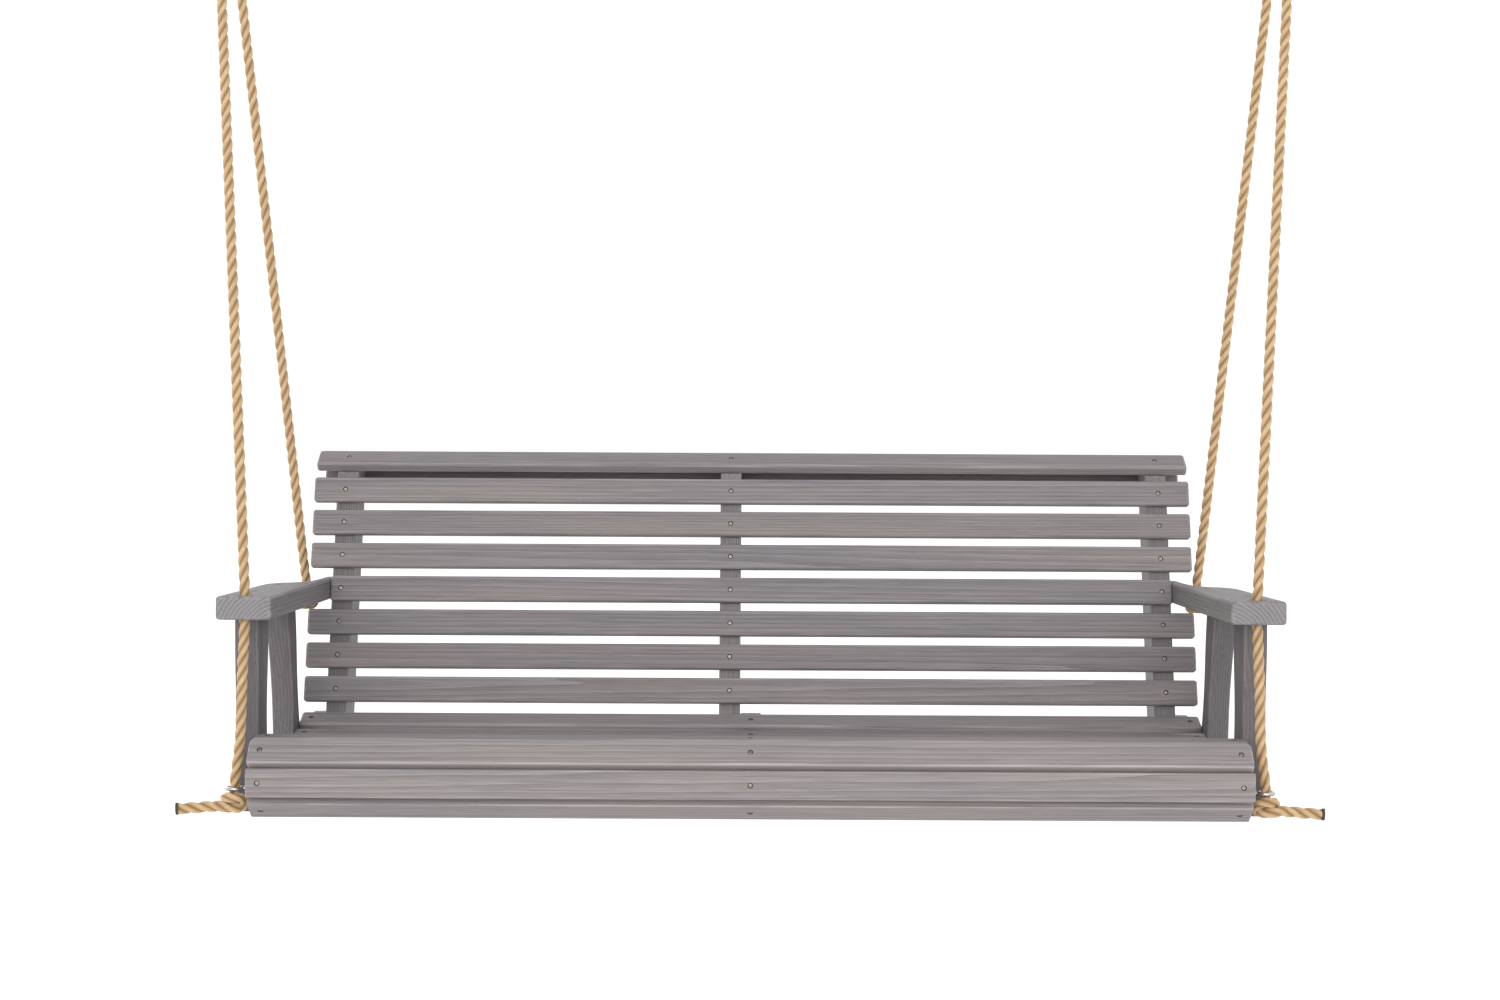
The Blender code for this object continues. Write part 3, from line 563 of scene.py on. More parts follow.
def inner_point(slat, along):
    """A (y, z) point just behind a slat's inner face, at a distance along its width."""
    up, out = lean_axes(slat[3])
    place = Vector((0.0, slat[1], slat[2])) + up * along - out * (SLAT_THICKNESS + GAP)
    return place.y, place.z


def meet(first, second):
    """The (y, z) point where the inner faces of two slats meet."""
    up_a, up_b = lean_axes(first[3])[0], lean_axes(second[3])[0]
    ya, za = inner_point(first, 0.0)
    yb, zb = inner_point(second, 0.0)
    cross = up_a.y * up_b.z - up_a.z * up_b.y
    along = ((yb - ya) * up_b.z - (zb - za) * up_b.y) / cross
    return ya + up_a.y * along, za + up_a.z * along


def slat_frame(slat):
    """A slat's own frame: X along it, Y across its width, Z out of its face."""
    up, out = lean_axes(slat[3])
    middle = BENCH + Vector((0.0, slat[1], slat[2])) - out * SLAT_THICKNESS / 2
    return Matrix.Translation(middle) @ Matrix((Vector((1.0, 0.0, 0.0)), up, out)).transposed().to_4x4()


def add_pocket(bm, x, y, face):
    """Add a shallow round pocket with a soft mouth to a cutter."""
    mouth = POCKET_R + 0.0006
    profile = [
        (0.0, face - POCKET_DEPTH - 0.0006),
        (POCKET_R * 0.72, face - POCKET_DEPTH - 0.0004),
        (POCKET_R, face - POCKET_DEPTH * 0.4),
        (mouth, face + 0.0001),
        (mouth, face + 0.0020),
        (0.0, face + 0.0020),
    ]
    add_turned(bm, profile, 20, Matrix.Translation((x, y, 0.0)))


def cut_pockets(item, places, face):
    """Cut a pocket for each screw into a piece's face, lined with painted shade."""
    tool = bmesh.new()
    for x, y in places:
        add_pocket(tool, x, y, face)
    cut(item, tool, "pockets", POCKET_SHADE)


def build_slat(slat, half, screws, slot, seed):
    """One slat with rounded edges and a pocket for each screw."""
    name = slat[0]
    bm = bmesh.new()
    bmesh.ops.create_cube(bm, size=1.0)
    bmesh.ops.scale(bm, vec=(2 * half, SLAT_WIDTH, SLAT_THICKNESS), verts=bm.verts)
    if name == "nose_slat_upper":
        upper = [e for e in bm.edges if all(v.co.y > 0.0 for v in e.verts)]
        runs = [e.verts[0].co - e.verts[1].co for e in upper]
        corners = [e for e, run in zip(upper, runs) if max(abs(run.x), abs(run.y)) < GAP]
        bmesh.ops.bevel(bm, geom=corners, offset=NOSE_CORNER, segments=6, profile=0.5, affect="EDGES")
    ease_edges(bm, NOSE_EASE.get(name, SLAT_EASE))
    tone = np.random.default_rng(seed + 500).uniform(0.96, 1.04)
    # the nose slats take the paler, lit copy of the stain
    base, wear = (TONES["nose_timber"], 0.38) if slat in NOSE else (TONES[slot], 0.30)
    stained = [c * tone for c in base]
    material = wood(f"pine_{name}", stained, seed, wear, edge_light_share=NOSE_EDGE_LIGHT.get(name, 0.0))
    made = add_piece(f"{name}_look", bm, slat_frame(slat), material, SWING, [name], 50.0)
    cut_pockets(made, [(x, 0.0) for x in screws], SLAT_THICKNESS / 2)
    weigh_normals(made)


def prism(outline, depth_axis, low, high):
    """A prism: an outline of (a, b) pairs drawn out along one axis."""
    bm = bmesh.new()
    near, far = [], []
    for pair in outline:
        for ring, depth in ((near, low), (far, high)):
            place = list(pair)
            place.insert(depth_axis, depth)
            ring.append(bm.verts.new(BENCH + Vector(place)))
    bm.faces.new(near)
    bm.faces.new(far)
    for i, corner in enumerate(near):
        j = (i + 1) % len(near)
        bm.faces.new((corner, near[j], far[j], far[i]))
    return bm


def board(outline, x):
    """A board of one thickness from its side view, centred at x."""
    return prism(outline, 0, x - BOARD / 2, x + BOARD / 2)


def grain_frame(place, grain, face):
    """A board's own frame: X along its grain and Z out of its broad face."""
    x = Vector(grain).normalized()
    z = Vector(face)
    return Matrix.Translation(BENCH + Vector(place)) @ Matrix((x, z.cross(x), z)).transposed().to_4x4()


def build_board(node, bm, own, seed, ease=0.0030, pockets=(), hole=None):
    """A sawn board with rounded edges, in a frame of its own that its grain follows."""
    bmesh.ops.transform(bm, matrix=own.inverted(), verts=bm.verts)
    ease_edges(bm, ease)
    tone = np.random.default_rng(seed + 500).uniform(0.94, 1.06)
    # posts and arms take the darker, shaded copies of the stain
    kind = "post_timber" if "post" in node else "arm_timber" if "arm" in node else "frame_timber"
    material = wood(f"pine_{node}", [c * tone for c in TONES[kind]], seed, 0.35, *ARM_LOGS.get(node, ()))
    made = add_piece(f"{node}_look", bm, own, material, SWING, [node], 50.0)
    if pockets:
        cut_pockets(made, pockets, BOARD / 2)
    if hole:
        tool = bmesh.new()
        mouth, face = ROPE_HOLE_R + HOLE_FLARE, BOARD / 2
        half = [(0.0, -0.03), (mouth, -0.03), (mouth, -face), (ROPE_HOLE_R, HOLE_FLARE - face)]
        profile = half + [(radius, -height) for radius, height in half[::-1]]
        add_turned(tool, profile, 40, Matrix.Translation((*hole, 0.0)))
        cut(made, tool, "rope_hole")
    weigh_normals(made)


def rail_outline():
    """Side view of a seat rail: its nose and top follow the backs of the slats."""
    lower, front, upper = NOSE
    along = lean_axes(lower[3])[0]
    y, z = inner_point(lower, 0.0)
    run = (z - RAIL_BOTTOM) / along.z
    outline = [(y - along.y * run, RAIL_BOTTOM), meet(lower, front), meet(front, upper), meet(upper, SEAT[0])]
    for slat in SEAT:
        outline += [inner_point(slat, -SLAT_WIDTH / 2), inner_point(slat, SLAT_WIDTH / 2)]
    outline.append((outline[-1][0] + 0.0150, RAIL_TAIL_TOP))
    corner = 0.0100
    taper_y, taper_z = RAIL_TAPER
    outline += [(RAIL_REAR - corner, RAIL_TAIL_TOP), (RAIL_REAR, RAIL_TAIL_TOP - corner)]
    outline += [(RAIL_REAR, taper_z + corner), (RAIL_REAR - corner, taper_z), (taper_y, RAIL_BOTTOM)]
    return outline


def brace_outline():
    """Side view of a back brace: straight legs with a top shaped for the rolled slats."""
    front, top, rear = ROLL
    face_y, face_z = inner_point(BACK[0], 0.0)
    foot_y = face_y + (BRACE_FOOT - face_z) * math.tan(RECLINE)
    depth = BRACE_DEPTH / math.cos(RECLINE)
    half = SLAT_WIDTH / 2
    return [
        (foot_y, BRACE_FOOT),
        inner_point(BACK[-1], half),
        inner_point(front, -half),
        inner_point(front, half),
        inner_point(top, -half),
        inner_point(top, half - 0.0080),
        inner_point(rear, -half),
        inner_point(rear, half),
        (foot_y + depth, BRACE_FOOT),
    ]


def post_outline(top_y, foot_y, width):
    """Side view of an arm upright: straight ends and a smooth waist between them."""
    steps = 22
    waist = [WAIST_TOP + (WAIST_FOOT - WAIST_TOP) * k / steps for k in range(steps + 1)]
    heights = [ARM_BOTTOM - GAP] + waist + [POST_FOOT]
    front, rear = [], []
    for z in heights:
        share = (ARM_BOTTOM - z) / (ARM_BOTTOM - POST_FOOT)
        middle = top_y + (foot_y - top_y) * share
        dip = min(max((WAIST_TOP - z) / (WAIST_TOP - WAIST_FOOT), 0.0), 1.0)
        half = width / 2 - POST_WAIST * math.sin(math.pi * dip) ** 2
        front.append((middle - half, z))
        rear.append((middle + half, z))
    return front + rear[::-1]


def smooth_edge(points, steps=6):
    """Points on a Catmull-Rom curve through (x, y) pairs, ends kept."""
    points = [Vector((*p, 0.0)) for p in points]
    ends = [2 * points[0] - points[1]] + points + [2 * points[-1] - points[-2]]
    made = []
    for i in range(len(points) - 1):
        made += [smooth(ends[i:i + 4], k / steps) for k in range(steps)]
    made.append(points[-1])
    return [(p.x, p.y) for p in made]


def smooth(points, share):
    """A point on the centripetal Catmull-Rom curve between the middle two of four points."""
    knots = [0.0]
    for before, after in zip(points, points[1:]):
        knots.append(knots[-1] + math.sqrt((after - before).length))
    when = knots[1] + (knots[2] - knots[1]) * share
    level = list(points)
    for order in (1, 2, 3):
        spans = [(knots[1], knots[2])] if order == 3 else list(zip(knots, knots[order:]))
        pairs = zip(level, level[1:], spans)
        level = [first.lerp(second, (when - low) / (high - low)) for first, second, (low, high) in pairs]
    return level[0]


def build_timber():
    """Every slat and board, each from its own part of the log."""
    seeds = itertools.count(1)
    for slat in NOSE + SEAT:
        build_slat(slat, SLAT_HALF, SEAT_SCREWS, "front_timber", next(seeds))
    for slat in BACK + ROLL:
        half = BRACE_OUTER if slat[0] == "back_slat_4" else SLAT_HALF
        build_slat(slat, half, BACK_SCREWS, "back_timber", next(seeds))
    across = (1.0, 0.0, 0.0)
    for name, x in zip(("left", "centre", "right"), SEAT_SCREWS):
        own = grain_frame((x, 0.3, -0.54), (0.0, 1.0, 0.0), across)
        build_board(f"{name}_rail", board(rail_outline(), x), own, next(seeds))
    for name, x in zip(("left", "centre", "right"), BACK_SCREWS):
        own = grain_frame((x, 0.57, -0.3), (0.0, math.sin(RECLINE), math.cos(RECLINE)), across)
        build_board(f"{name}_brace", board(brace_outline(), x), own, next(seeds))
    for side_name, side in SIDES.items():
        for post, (top_y, foot_y, width) in POSTS.items():
            x = side * POST_MIDDLE
            lean = Vector((0.0, top_y - foot_y, ARM_BOTTOM - POST_FOOT))
            own = grain_frame((x, 0.5 * (top_y + foot_y), -0.43), lean, across)
            build_board(f"{side_name}_{post}", board(post_outline(top_y, foot_y, width), x), own, next(seeds))
        build_arm(side_name, side, next(seeds))


def build_arm(side_name, side, seed):
    """An arm rest with its screw pockets and its rope hole."""
    edge = smooth_edge(ARM_EDGE[:-1]) + [ARM_EDGE[-1]]
    outline = [(side * x, y) for x, y in [(RAIL_INNER, ARM_EDGE[-1][1]), (RAIL_INNER, ARM_EDGE[0][1])] + edge]
    middle = Vector((side * 0.81, 0.3, ARM_TOP - BOARD / 2))
    own = grain_frame(middle, (0.0, 1.0, 0.0), (0.0, 0.0, 1.0))
    back = own.inverted()
    local = [back @ (BENCH + Vector((side * x, y, middle.z))) for x, y in ARM_SCREWS + [ROPE_HOLE]]
    *spots, hole = [(p.x, p.y) for p in local]
    bm = prism(outline, 2, ARM_BOTTOM, ARM_TOP)
    build_board(f"{side_name}_arm", bm, own, seed, ARM_EASE, pockets=spots, hole=hole)


def add_screw(bm, matrix):
    """A recessed screw head with a six-lobed socket."""
    segments = 24
    levels = [(0.0, -0.0012), (0.0032, -0.0012), (0.0032, -0.0004), (0.0028, 0.0), (0.0023, 0.0001)]
    levels += [(socket_radius, 0.0), (socket_radius, -0.0010), (0.0, -0.0011)]
    rings = [add_ring(bm, matrix, height, reach, segments) for reach, height in levels]
    bridge(bm, rings, segments)


def socket_radius(turn):
    """Radius of a six-lobed socket at an angle."""
    return 0.0013 + 0.0003 * math.cos(6 * turn)


def build_screws():
    """The heads of the slat and arm screws. Those in the slats are each turned a little from the next."""
    random = np.random.default_rng(77)
    sets = {"seat_screws": (NOSE + SEAT, SEAT_SCREWS), "back_screws": (BACK + ROLL, BACK_SCREWS)}
    for name, (slats, screws) in sets.items():
        bm = bmesh.new()
        for slat, x in itertools.product(slats, screws):
            spin = Matrix.Rotation(random.uniform(0.0, math.pi), 4, "Z")
            sunk = Matrix.Translation((x, 0.0, SLAT_THICKNESS / 2 - SCREW_SINK))
            add_screw(bm, slat_frame(slat) @ sunk @ spin)
        add_piece(name, bm, IDENTITY, SCREW_METAL, SWING)
    bm = bmesh.new()
    for side, (x, y) in itertools.product(SIDES.values(), ARM_SCREWS):
        add_screw(bm, Matrix.Translation(BENCH + Vector((side * x, y, ARM_TOP - SCREW_SINK))))
    add_piece("arm_screws", bm, IDENTITY, SCREW_METAL, SWING)


build_timber()
build_screws()

# ---------------------------------------------------------------- bolts and ceiling fittings

BOLT_R = 0.0040
BOLT_HEAD = 0.0055
BOLT_GRIP = 2 * BOARD + GAP
BOLT_WASHER_TOP = BOLT_GRIP + 0.0014
POST_BOLT_Z = -0.5480
BRACE_BOLT = (0.5170, -0.5350)
EYE_ROD = 0.0045
EYE_RING = 0.0125
EYE_WIRE = 0.0030
WASHER = 0.0016
NUT = 0.0075
EYES = {
    "front": (0.8295, 0.0500, -0.5450, RAIL_OUTER, RAIL_INNER),
    "rear": (0.8170, 0.5780, -0.2525, 0.7873, BRACE_INNER),
}
PLATE = 0.0050
EAR_INSIDE, EAR_OUTSIDE, EAR_HALF_Y = 0.0150, 0.0190, 0.0140
PIN_R = 0.0060
PIN_NUT_R = 0.0100
PLATE_SCREWS = [(-0.0150, -0.0380), (0.0150, -0.0380), (-0.0150, 0.0380), (0.0150, 0.0380)]


def add_hex(bm, radius, low, high):
    """Add a hexagonal nut or head with chamfered corners."""
    segments = 36
    flat = radius * math.cos(math.pi / 6)
    rings = [add_ring(bm, IDENTITY, low, 0.0, segments)]
    for height, reach in [(low, flat), (low + 0.0006, radius), (high - 0.0006, radius), (high, flat)]:
        rings.append(add_ring(bm, IDENTITY, height, lambda turn: min(hex_side(flat, turn), reach), segments))
    rings.append(add_ring(bm, IDENTITY, high, 0.0, segments))
    bridge(bm, rings, segments)


def hex_side(flat, turn):
    """How far a hexagon's side is at an angle."""
    return flat / math.cos((turn + math.pi / 6) % (math.pi / 3) - math.pi / 6)


def round_section(radius, centre, steps):
    """A round section at a distance from local Z, as (radius, height) pairs of a profile."""
    turns = [2 * math.pi * k / steps for k in range(steps)]
    return [(centre + radius * math.cos(t), radius * math.sin(t)) for t in turns]


def thread(low, high, radius, pitch=0.00125):
    """Profile of a threaded end, from low to high."""
    made = []
    count = int((high - low) / pitch)
    for k in range(count):
        made += [(radius - 0.0004, low + k * pitch), (radius, low + (k + 0.5) * pitch)]
    return made + [(radius - 0.0004, low + count * pitch)]


def build_frame_bolts():
    """Coach bolts with a domed head on one side and a washer and nut on the other."""
    brace_y, brace_z = BRACE_BOLT
    places = {}
    for side_name, side in SIDES.items():
        for post, (top_y, foot_y, _) in POSTS.items():
            y = top_y + (foot_y - top_y) * (ARM_BOTTOM - POST_BOLT_Z) / (ARM_BOTTOM - POST_FOOT)
            places[f"{side_name}_{post}_bolt"] = (side * POST_OUTER, side * RAIL_INNER, y, POST_BOLT_Z)
        places[f"{side_name}_brace_bolt"] = (side * RAIL_OUTER, side * BRACE_INNER, brace_y, brace_z)
    places["centre_brace_bolt"] = (BOARD / 2, CENTRE_BRACE_X - BOARD / 2, brace_y, brace_z)
    for node, (head_x, nut_x, y, z) in places.items():
        toward = Vector((math.copysign(1.0, nut_x - head_x), 0.0, 0.0))
        own = Matrix.Translation(BENCH + Vector((head_x, y, z))) @ facing(toward)
        bm = bmesh.new()
        crown = BOLT_HEAD * 0.85
        turns = np.linspace(0.0, math.pi / 2, 9)[1:]
        dome = [(0.0, -GAP - crown)] + [(0.0085 * math.sin(t), -GAP - crown * math.cos(t)) for t in turns]
        nut_end = BOLT_GRIP + BOLT_HEAD
        profile = dome + [(0.0083, -GAP), (BOLT_R, -GAP), (BOLT_R, BOLT_GRIP + GAP)]
        profile += [(BOLT_R, nut_end - 0.0008), (BOLT_R - 0.0006, nut_end), (0.0, nut_end)]
        add_turned(bm, profile, 28, IDENTITY)
        add_turned(bm, flat_ring(0.0045, 0.0100, BOLT_GRIP + GAP, BOLT_WASHER_TOP), 28, IDENTITY, closed=True)
        add_hex(bm, 0.0082, BOLT_WASHER_TOP, nut_end - 0.0006)
        add_piece(f"{node}_look", bm, own, ZINC, SWING, [node], 35.0)


def build_eye_bolts():
    """Forged eyes on threaded shanks, each with two washers and a nut."""
    for side_name, side in SIDES.items():
        for end, (x, y, z, outer, inner) in EYES.items():
            node = f"{side_name}_{end}_eye_bolt"
            own = Matrix.Translation(BENCH + Vector((side * x, y, z))) @ facing((side, 0.0, 0.0))
            bm = bmesh.new()
            ring = Matrix.Rotation(math.pi / 2, 4, "X")
            add_turned(bm, round_section(EYE_WIRE, EYE_RING, 14), 44, eye_turn(own) @ ring, closed=True)
            nut_low = inner - GAP - WASHER - NUT - x
            tip, neck = nut_low - 0.0045, -EYE_RING - 0.0008
            shank = [(0.0, tip)] + thread(tip, nut_low, EYE_ROD) + [(EYE_ROD, nut_low + 0.0005)]
            shank += [(EYE_ROD, outer + GAP + WASHER - x), (EYE_ROD, -EYE_RING - 0.0030)]
            add_turned(bm, shank + [(EYE_WIRE, neck), (0.0, neck)], 20, IDENTITY)
            for face in (outer + GAP - x, inner - GAP - WASHER - x):
                washer = flat_ring(EYE_ROD + 0.0003, 0.0105, face, face + WASHER)
                add_turned(bm, washer, 28, IDENTITY, closed=True)
            add_hex(bm, 0.0085, nut_low, nut_low + NUT)
            add_piece(f"{node}_look", bm, own, ZINC, SWING, [node], 35.0)


def eye_turn(own):
    """Turn that brings an eye's ring from its own frame's Y axis to the row's level plane."""
    level = own.to_3x3().inverted() @ Vector((0.0, 0.0, 1.0))
    return Matrix.Rotation(-math.atan2(level.x, level.y), 4, "Z")


def rounded_rect(half_x, half_y, radius, steps=5):
    """Corner points of a rectangle with round corners."""
    made = []
    for corner in range(4):
        cx = (half_x - radius) * (1 if corner in (0, 3) else -1)
        cy = (half_y - radius) * (1 if corner in (0, 1) else -1)
        for k in range(steps + 1):
            turn = math.pi / 2 * (corner + k / steps)
            made.append((cx + radius * math.cos(turn), cy + radius * math.sin(turn)))
    return made


def loft(bm, outline, levels, point):
    """Stack scaled copies of an outline into a closed solid; levels are (height, inset)."""
    rings = []
    for height, inset in levels:
        ring = []
        for a, b in outline:
            share = 1.0 - inset / math.hypot(a, b)
            ring.append(bm.verts.new(point(a * share, b * share, height)))
        rings.append(ring)
    skin(bm, rings)


def build_hangers():
    """Ceiling brackets with their screws, and the pins that the thimbles hang on."""
    levels = [(0.0, 0.0004), (-0.0006, 0.0), (0.0006 - PLATE, 0.0), (-PLATE, 0.0006)]
    head = [(0.0, -0.0010), (0.0056, -0.0010), (0.0056, 0.0008), (0.0048, 0.0022)]
    head += [(0.0026, 0.0030), (0.0010, 0.0030), (0.0010, 0.0014), (0.0, 0.0014)]
    half = EAR_OUTSIDE + GAP
    shaft = [(0.0, -half - 0.0010), (PIN_R, -half - 0.0010), (PIN_R, half + 0.0050)]
    shaft += [(PIN_R - 0.0006, half + 0.0062), (0.0, half + 0.0062)]
    for side_name, side in SIDES.items():
        bm = bmesh.new()
        loft(bm, rounded_rect(0.0220, 0.0500, 0.0060), levels, lambda a, b, h: Vector((a, b, h)))
        for low in (EAR_INSIDE, -EAR_OUTSIDE):
            faces = [(low, 0.0004), (low + 0.0005, 0.0), (low + 0.0035, 0.0), (low + 0.0040, 0.0004)]
            loft(bm, ear_outline(), faces, lambda a, b, h: Vector((h, a, b + PIN_Z)))
        for x, y in PLATE_SCREWS:
            add_turned(bm, head, 24, Matrix.Translation((x, y, -PLATE)) @ Matrix.Rotation(math.pi, 4, "X"))
        own = Matrix.Translation((side * HOOK_X, 0.0, 0.0))
        node = f"{side_name}_ceiling_bracket"
        add_piece(f"{side_name}_bracket_look", bm, own, ZINC, HANGERS, [node], 35.0)
        bm = bmesh.new()
        add_turned(bm, shaft, 28, IDENTITY)
        add_hex(bm, PIN_NUT_R, -half - 0.0060, -half)
        add_hex(bm, PIN_NUT_R, half, half + 0.0055)
        own = Matrix.Translation((side * HOOK_X, 0.0, PIN_Z)) @ facing((1.0, 0.0, 0.0))
        node = f"{side_name}_hanger_pin"
        add_piece(f"{side_name}_pin_look", bm, own, ZINC, HANGERS, [node], 35.0)


def ear_outline():
    """An ear's side view about its pin: straight to the plate, and round below."""
    top = -0.0040 - PIN_Z
    turns = [-math.pi * k / 16 for k in range(17)]
    below = [(EAR_HALF_Y * math.cos(turn), EAR_HALF_Y * math.sin(turn)) for turn in turns]
    return [(EAR_HALF_Y, top)] + below + [(-EAR_HALF_Y, top)]


build_frame_bolts()
build_eye_bolts()
build_hangers()

# ---------------------------------------------------------------- rope

ROPE_D = 0.0175
LAY_LENGTH = 0.0700
STRAND_OFFSET = 0.0040
STRAND_R = 0.00475
RING_POINTS = 36
STEP = 0.0030
KNOT_STEP = 0.0022
TAPE_R = 0.0096
TWINE_R = 0.00115
TWINE_TOP, TWINE_FOOT = 0.0555, 0.0765
# One half of the rope's turn over its thimble: distances out from and down from the thimble's centre.
BIGHT = [
    (0.0000, -0.0240),
    (0.0120, -0.0208),
    (0.0208, -0.0120),
    (0.0240, 0.0000),
    (0.0224, 0.0095),
    (0.0172, 0.0260),
    (0.0119, 0.0410),
    (0.0093, 0.0530),
    (0.0091, 0.0660),
    (0.0094, 0.0780),
    (0.0108, 0.0900),
    (0.0158, 0.1200),
]
# Each leg from the level of its arm rest down to its eye.
LEGS = {
    "front": [
        (0.8160, 0.0510, -0.2120),
        (0.8140, 0.0470, -0.2380),
        (0.8136, 0.0458, -0.2620),
        (0.8150, 0.0460, -0.3000),
        (0.8185, 0.0470, -0.3800),
        (0.8215, 0.0485, -0.4700),
        (0.8268, 0.0497, -0.5150),
        (0.8293, 0.0500, -0.5350),
        (0.8295, 0.0500, -0.5455),
    ],
    "rear": [
        (0.8212, 0.5700, -0.2000),
        (0.8180, 0.5765, -0.2350),
        (0.8170, 0.5780, -0.2530),
    ],
}
# A stopper knot about the end of its leg: outwards, back and up.
KNOT = [
    (0.0000, 0.0000, -0.0120),
    (0.0010, 0.0020, -0.0230),
    (-0.0030, 0.0050, -0.0310),
    (-0.0110, 0.0060, -0.0300),
    (-0.0145, 0.0010, -0.0220),
    (-0.0120, -0.0080, -0.0150),
    (-0.0030, -0.0135, -0.0128),
    (0.0080, -0.0115, -0.0128),
    (0.0145, -0.0020, -0.0145),
    (0.0110, 0.0080, -0.0170),
    (0.0020, 0.0120, -0.0200),
    (-0.0060, 0.0070, -0.0250),
    (-0.0060, -0.0040, -0.0295),
    (0.0020, -0.0105, -0.0295),
    (0.0140, -0.0105, -0.0275),
    (0.0300, -0.0060, -0.0275),
]
TAILS = {
    "front": [(0.0600, -0.0055, -0.0300), (0.0925, -0.0090, -0.0317)],
    "rear": [(0.0600, 0.0060, -0.0290), (0.0930, 0.0110, -0.0312)],
}


def hang_frame(side):
    """Frame at a thimble's centre, tilted so that its local -Z runs down the ropes."""
    return Matrix.Translation((side * HOOK_X, 0.0, THIMBLE_Z)) @ Matrix.Rotation(side * SWAY, 4, "Y")


def leg_route(side, end):
    """Route of one leg in the row frame, from the top of its thimble to the foot of the leg."""
    toward = -1 if end == "front" else 1
    top = [hang_frame(side) @ Vector((0.0, toward * y, -down)) for y, down in BIGHT]
    low = [BENCH + Vector((side * x, y, z)) for x, y, z in LEGS[end]]
    return top + [top[-1].lerp(low[0], 1 / 3), top[-1].lerp(low[0], 2 / 3)] + low


def fine_curve(route, before):
    """Closely spaced points on the smooth curve through a route."""
    ends = [before] + route + [2 * route[-1] - route[-2]]
    made = []
    for i in range(len(route) - 1):
        steps = max(4, int((route[i + 1] - route[i]).length / 0.0008))
        made += [smooth(ends[i:i + 4], k / steps) for k in range(steps)]
    return np.array([tuple(p) for p in made + [route[-1]]])


def evenly(line, step, start=0.0):
    """A line's points again, a step apart along it, and how far along each is."""
    along = np.concatenate([[0.0], np.cumsum(np.linalg.norm(np.diff(line, axis=0), axis=1))])
    count = max(2, round((along[-1] - start) / step) + 1)
    at = np.linspace(start, along[-1], count)
    return np.stack([np.interp(at, along, line[:, k]) for k in range(3)], axis=1), at


def carried_frames(points, first_normal):
    """Normals carried along a line with no twist of their own, and the line's directions."""
    ways = np.gradient(points, axis=0)
    ways /= np.linalg.norm(ways, axis=1)[:, None]
    normals = [first_normal - ways[0] * float(first_normal @ ways[0])]
    normals[0] /= np.linalg.norm(normals[0])
    for before, after in zip(ways, ways[1:]):
        normal = normals[-1]
        axis = np.cross(before, after)
        size = float(np.linalg.norm(axis))
        if size > 1e-9:
            turn = Matrix.Rotation(math.atan2(size, float(before @ after)), 3, Vector(axis / size))
            normal = np.array(turn @ Vector(normal))
        normal = normal - after * float(normal @ after)
        normals.append(normal / np.linalg.norm(normal))
    return np.array(normals), ways


def strand_section():
    """Radius, angle and depth in the groove at each point round a three-strand rope."""
    made = []
    for k in range(RING_POINTS):
        turn = 2 * math.pi * (k + 0.5) / RING_POINTS
        off = (turn + math.pi / 3) % (2 * math.pi / 3) - math.pi / 3
        radius = STRAND_OFFSET * math.cos(off) + math.sqrt(STRAND_R**2 - (STRAND_OFFSET * math.sin(off)) ** 2)
        made.append((radius, turn, abs(off) / (math.pi / 3)))
    return made


def laid_tube(points, along, normals, ways, sign, squeeze=None):
    """A closed three-strand tube. Its strands turn with the distance along the whole rope."""
    bm = bmesh.new()
    lay = bm.verts.layers.float_vector.new("lay")
    groove = bm.verts.layers.float.new("groove")
    section = strand_section()
    squeeze = np.ones(len(points)) if squeeze is None else squeeze
    rings = []
    for centre, s, normal, way, shrink in zip(points, along, normals, ways, squeeze):
        side = np.cross(way, normal) * sign
        twist = sign * s / LAY_LENGTH * 2 * math.pi
        ring = []
        for radius, turn, depth in section:
            angle = turn + twist
            place = centre + radius * shrink * (math.cos(angle) * normal + math.sin(angle) * side)
            vert = bm.verts.new(place)
            yarn = turn + 1.28 * twist
            vert[lay] = Vector((radius * math.cos(yarn), radius * math.sin(yarn), sign * s))
            # the depth in the groove later darkens the colour, as painted shade and dirt
            vert[groove] = depth
            ring.append(vert)
        rings.append(ring)
    bridge(bm, rings, RING_POINTS)
    for ring, centre, way in ((rings[0], points[0], -ways[0]), (rings[-1], points[-1], ways[-1])):
        middle = bm.verts.new(centre + way * 0.0002)
        middle[groove] = 0.4
        for k in range(RING_POINTS):
            bm.faces.new((ring[k], ring[(k + 1) % RING_POINTS], middle))
    return bm


def add_loop(bm, centre, normal, way, reach, segments):
    """Add a ring of vertices across a line. Its reach gives a radius for each angle."""
    side = np.cross(way, normal)
    turns = [2 * math.pi * k / segments for k in range(segments)]
    return [bm.verts.new(centre + reach(t) * (math.cos(t) * normal + math.sin(t) * side)) for t in turns]


def add_tape(bm, points, ways, normals, radius):
    """Add a snug band of tape along a few points of a rope, a little rippled by the strands."""
    last = len(points) - 1
    path = [(0, radius - 0.0012)] + [(i, radius) for i in range(last + 1)] + [(last, radius - 0.0016)]
    rings = []
    for i, reach in path:
        ripple = functools.partial(rippled, reach, 0.7 * i)
        rings.append(add_loop(bm, points[i], normals[i], ways[i], ripple, 30))
    skin(bm, rings)


def rippled(reach, shift, turn):
    """A radius with three low waves."""
    return reach * (1 + 0.012 * math.cos(3 * turn + shift))


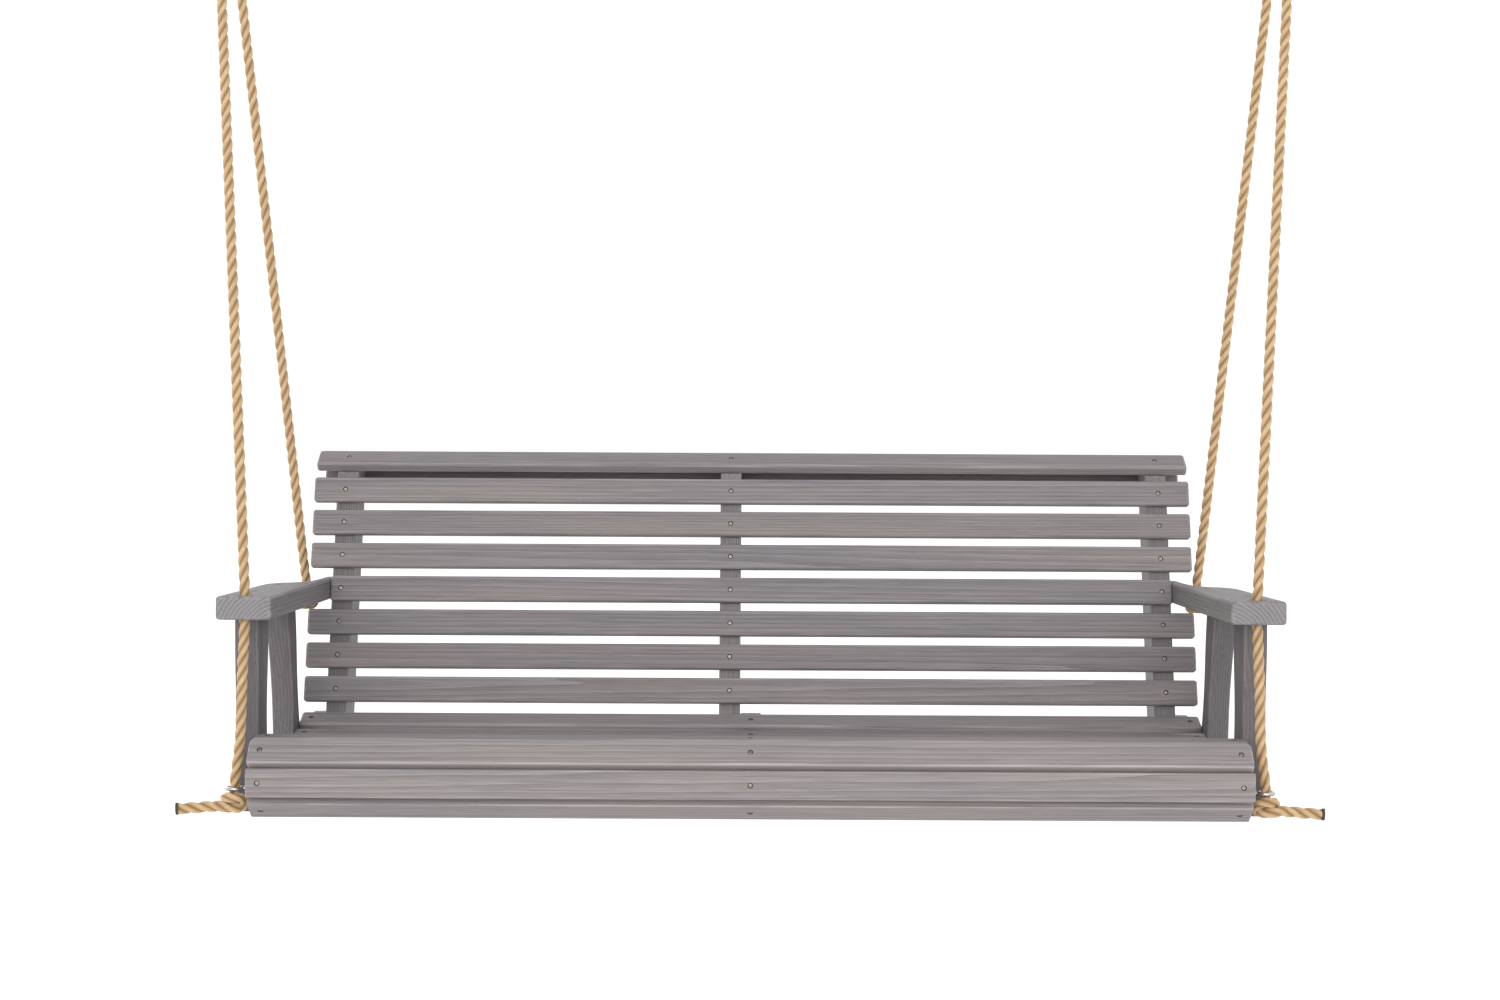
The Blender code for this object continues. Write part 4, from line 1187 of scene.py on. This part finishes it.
def build_rope(side_name, side, end):
    """One leg with its knot and taped tail, as pieces that share one run of strands."""
    route = leg_route(side, end)
    mirrored = Vector((route[1].x, -route[1].y, route[1].z))
    foot = route[-1] - Vector((0.0, 0.0, GAP))
    knot_route = [foot + Vector((side * x, y, z)) for x, y, z in KNOT + TAILS[end]]
    leg_line = fine_curve(route, mirrored)
    knot_line = fine_curve([route[-1]] + knot_route, route[-2])
    sign = -1 if end == "front" else 1
    leg, leg_along = evenly(leg_line, STEP, GAP / 2)
    knot, knot_along = evenly(knot_line, KNOT_STEP)
    whole = np.concatenate([leg, knot[1:]])
    normals, ways = carried_frames(whole, np.array((1.0, 0.0, 0.0)))
    along = np.concatenate([leg_along, knot_along[1:] + leg_along[-1]])
    split = len(leg)
    name = f"{side_name}_{end}"
    straight, bent, tip = slice(0, split), slice(split - 1, len(whole)), slice(len(whole) - 3, len(whole))
    bm = laid_tube(whole[straight], along[straight], normals[straight], ways[straight], sign)
    rope = add_piece(f"laid_rope_{name}", bm, IDENTITY, MANILA, SWING, [f"{name}_rope"], 75.0)
    squeeze = np.interp(knot_along, [0.0, 0.012, 0.115, 0.150, knot_along[-1]], [1.0, 0.97, 0.97, 1.04, 1.06])
    bm = laid_tube(whole[bent], along[bent], normals[bent], ways[bent], sign, squeeze)
    tied = add_piece(f"knot_{name}", bm, IDENTITY, MANILA, SWING, [f"{name}_knot"], 75.0)
    bm = bmesh.new()
    add_tape(bm, whole[tip], ways[tip], normals[tip], TAPE_R)
    tape = add_piece(f"end_tape_{name}", bm, IDENTITY, TAPE, SWING)
    return rope, leg, [tied, tape]


def build_seizing(side_name, side):
    """Twine wound round both legs just under the thimble."""
    reach = ROPE_D / 2 + 0.0006 + TWINE_R
    steps = 44
    count = steps * round((TWINE_FOOT - TWINE_TOP) / (2 * TWINE_R))
    points = []
    for i in range(count + 1):
        turn = 2 * math.pi * i / steps
        y = reach * math.cos(turn) + 0.0092 * math.tanh(6 * math.cos(turn))
        points.append((reach * math.sin(turn), y, -(TWINE_TOP + (TWINE_FOOT - TWINE_TOP) * i / count)))
    points = np.array(points)
    normals, ways = carried_frames(points, np.array((0.0, 0.0, 1.0)))
    bm = bmesh.new()
    places = zip(points, normals, ways)
    skin(bm, [add_loop(bm, *place, lambda turn: TWINE_R * 1.06, 7) for place in places])
    node = f"{side_name}_seizing"
    return add_piece(f"seizing_{side_name}", bm, hang_frame(side), TWINE, SWING, [node], 75.0)


def build_thimble(side_name, side):
    """A pressed round thimble with a rolled groove."""
    own = hang_frame(side) @ facing((1.0, 0.0, 0.0))
    outer = [(0.0145 + 0.0070 * (abs(t) / 0.0098) ** 2.4, t) for t in np.linspace(-0.0098, 0.0098, 15)]
    lip = [(0.0214, 0.0105), (0.0206, 0.0105)]
    inner = [(0.0131 + 0.0052 * (abs(t) / 0.0104) ** 2.4, t) for t in np.linspace(0.0104, -0.0104, 15)]
    profile = outer + lip + inner + [(0.0206, -0.0105), (0.0214, -0.0105)]
    bm = bmesh.new()
    add_turned(bm, profile, 48, IDENTITY, closed=True)
    add_piece(f"thimble_{side_name}", bm, own, ZINC, SWING, [f"{side_name}_thimble"], 45.0)


def build_ropes():
    """Both ropes, with their seizings and thimbles."""
    for side_name, side in SIDES.items():
        seizing = build_seizing(side_name, side)
        build_thimble(side_name, side)
        for end in LEGS:
            rope, line, ends = build_rope(side_name, side, end)


build_ropes()
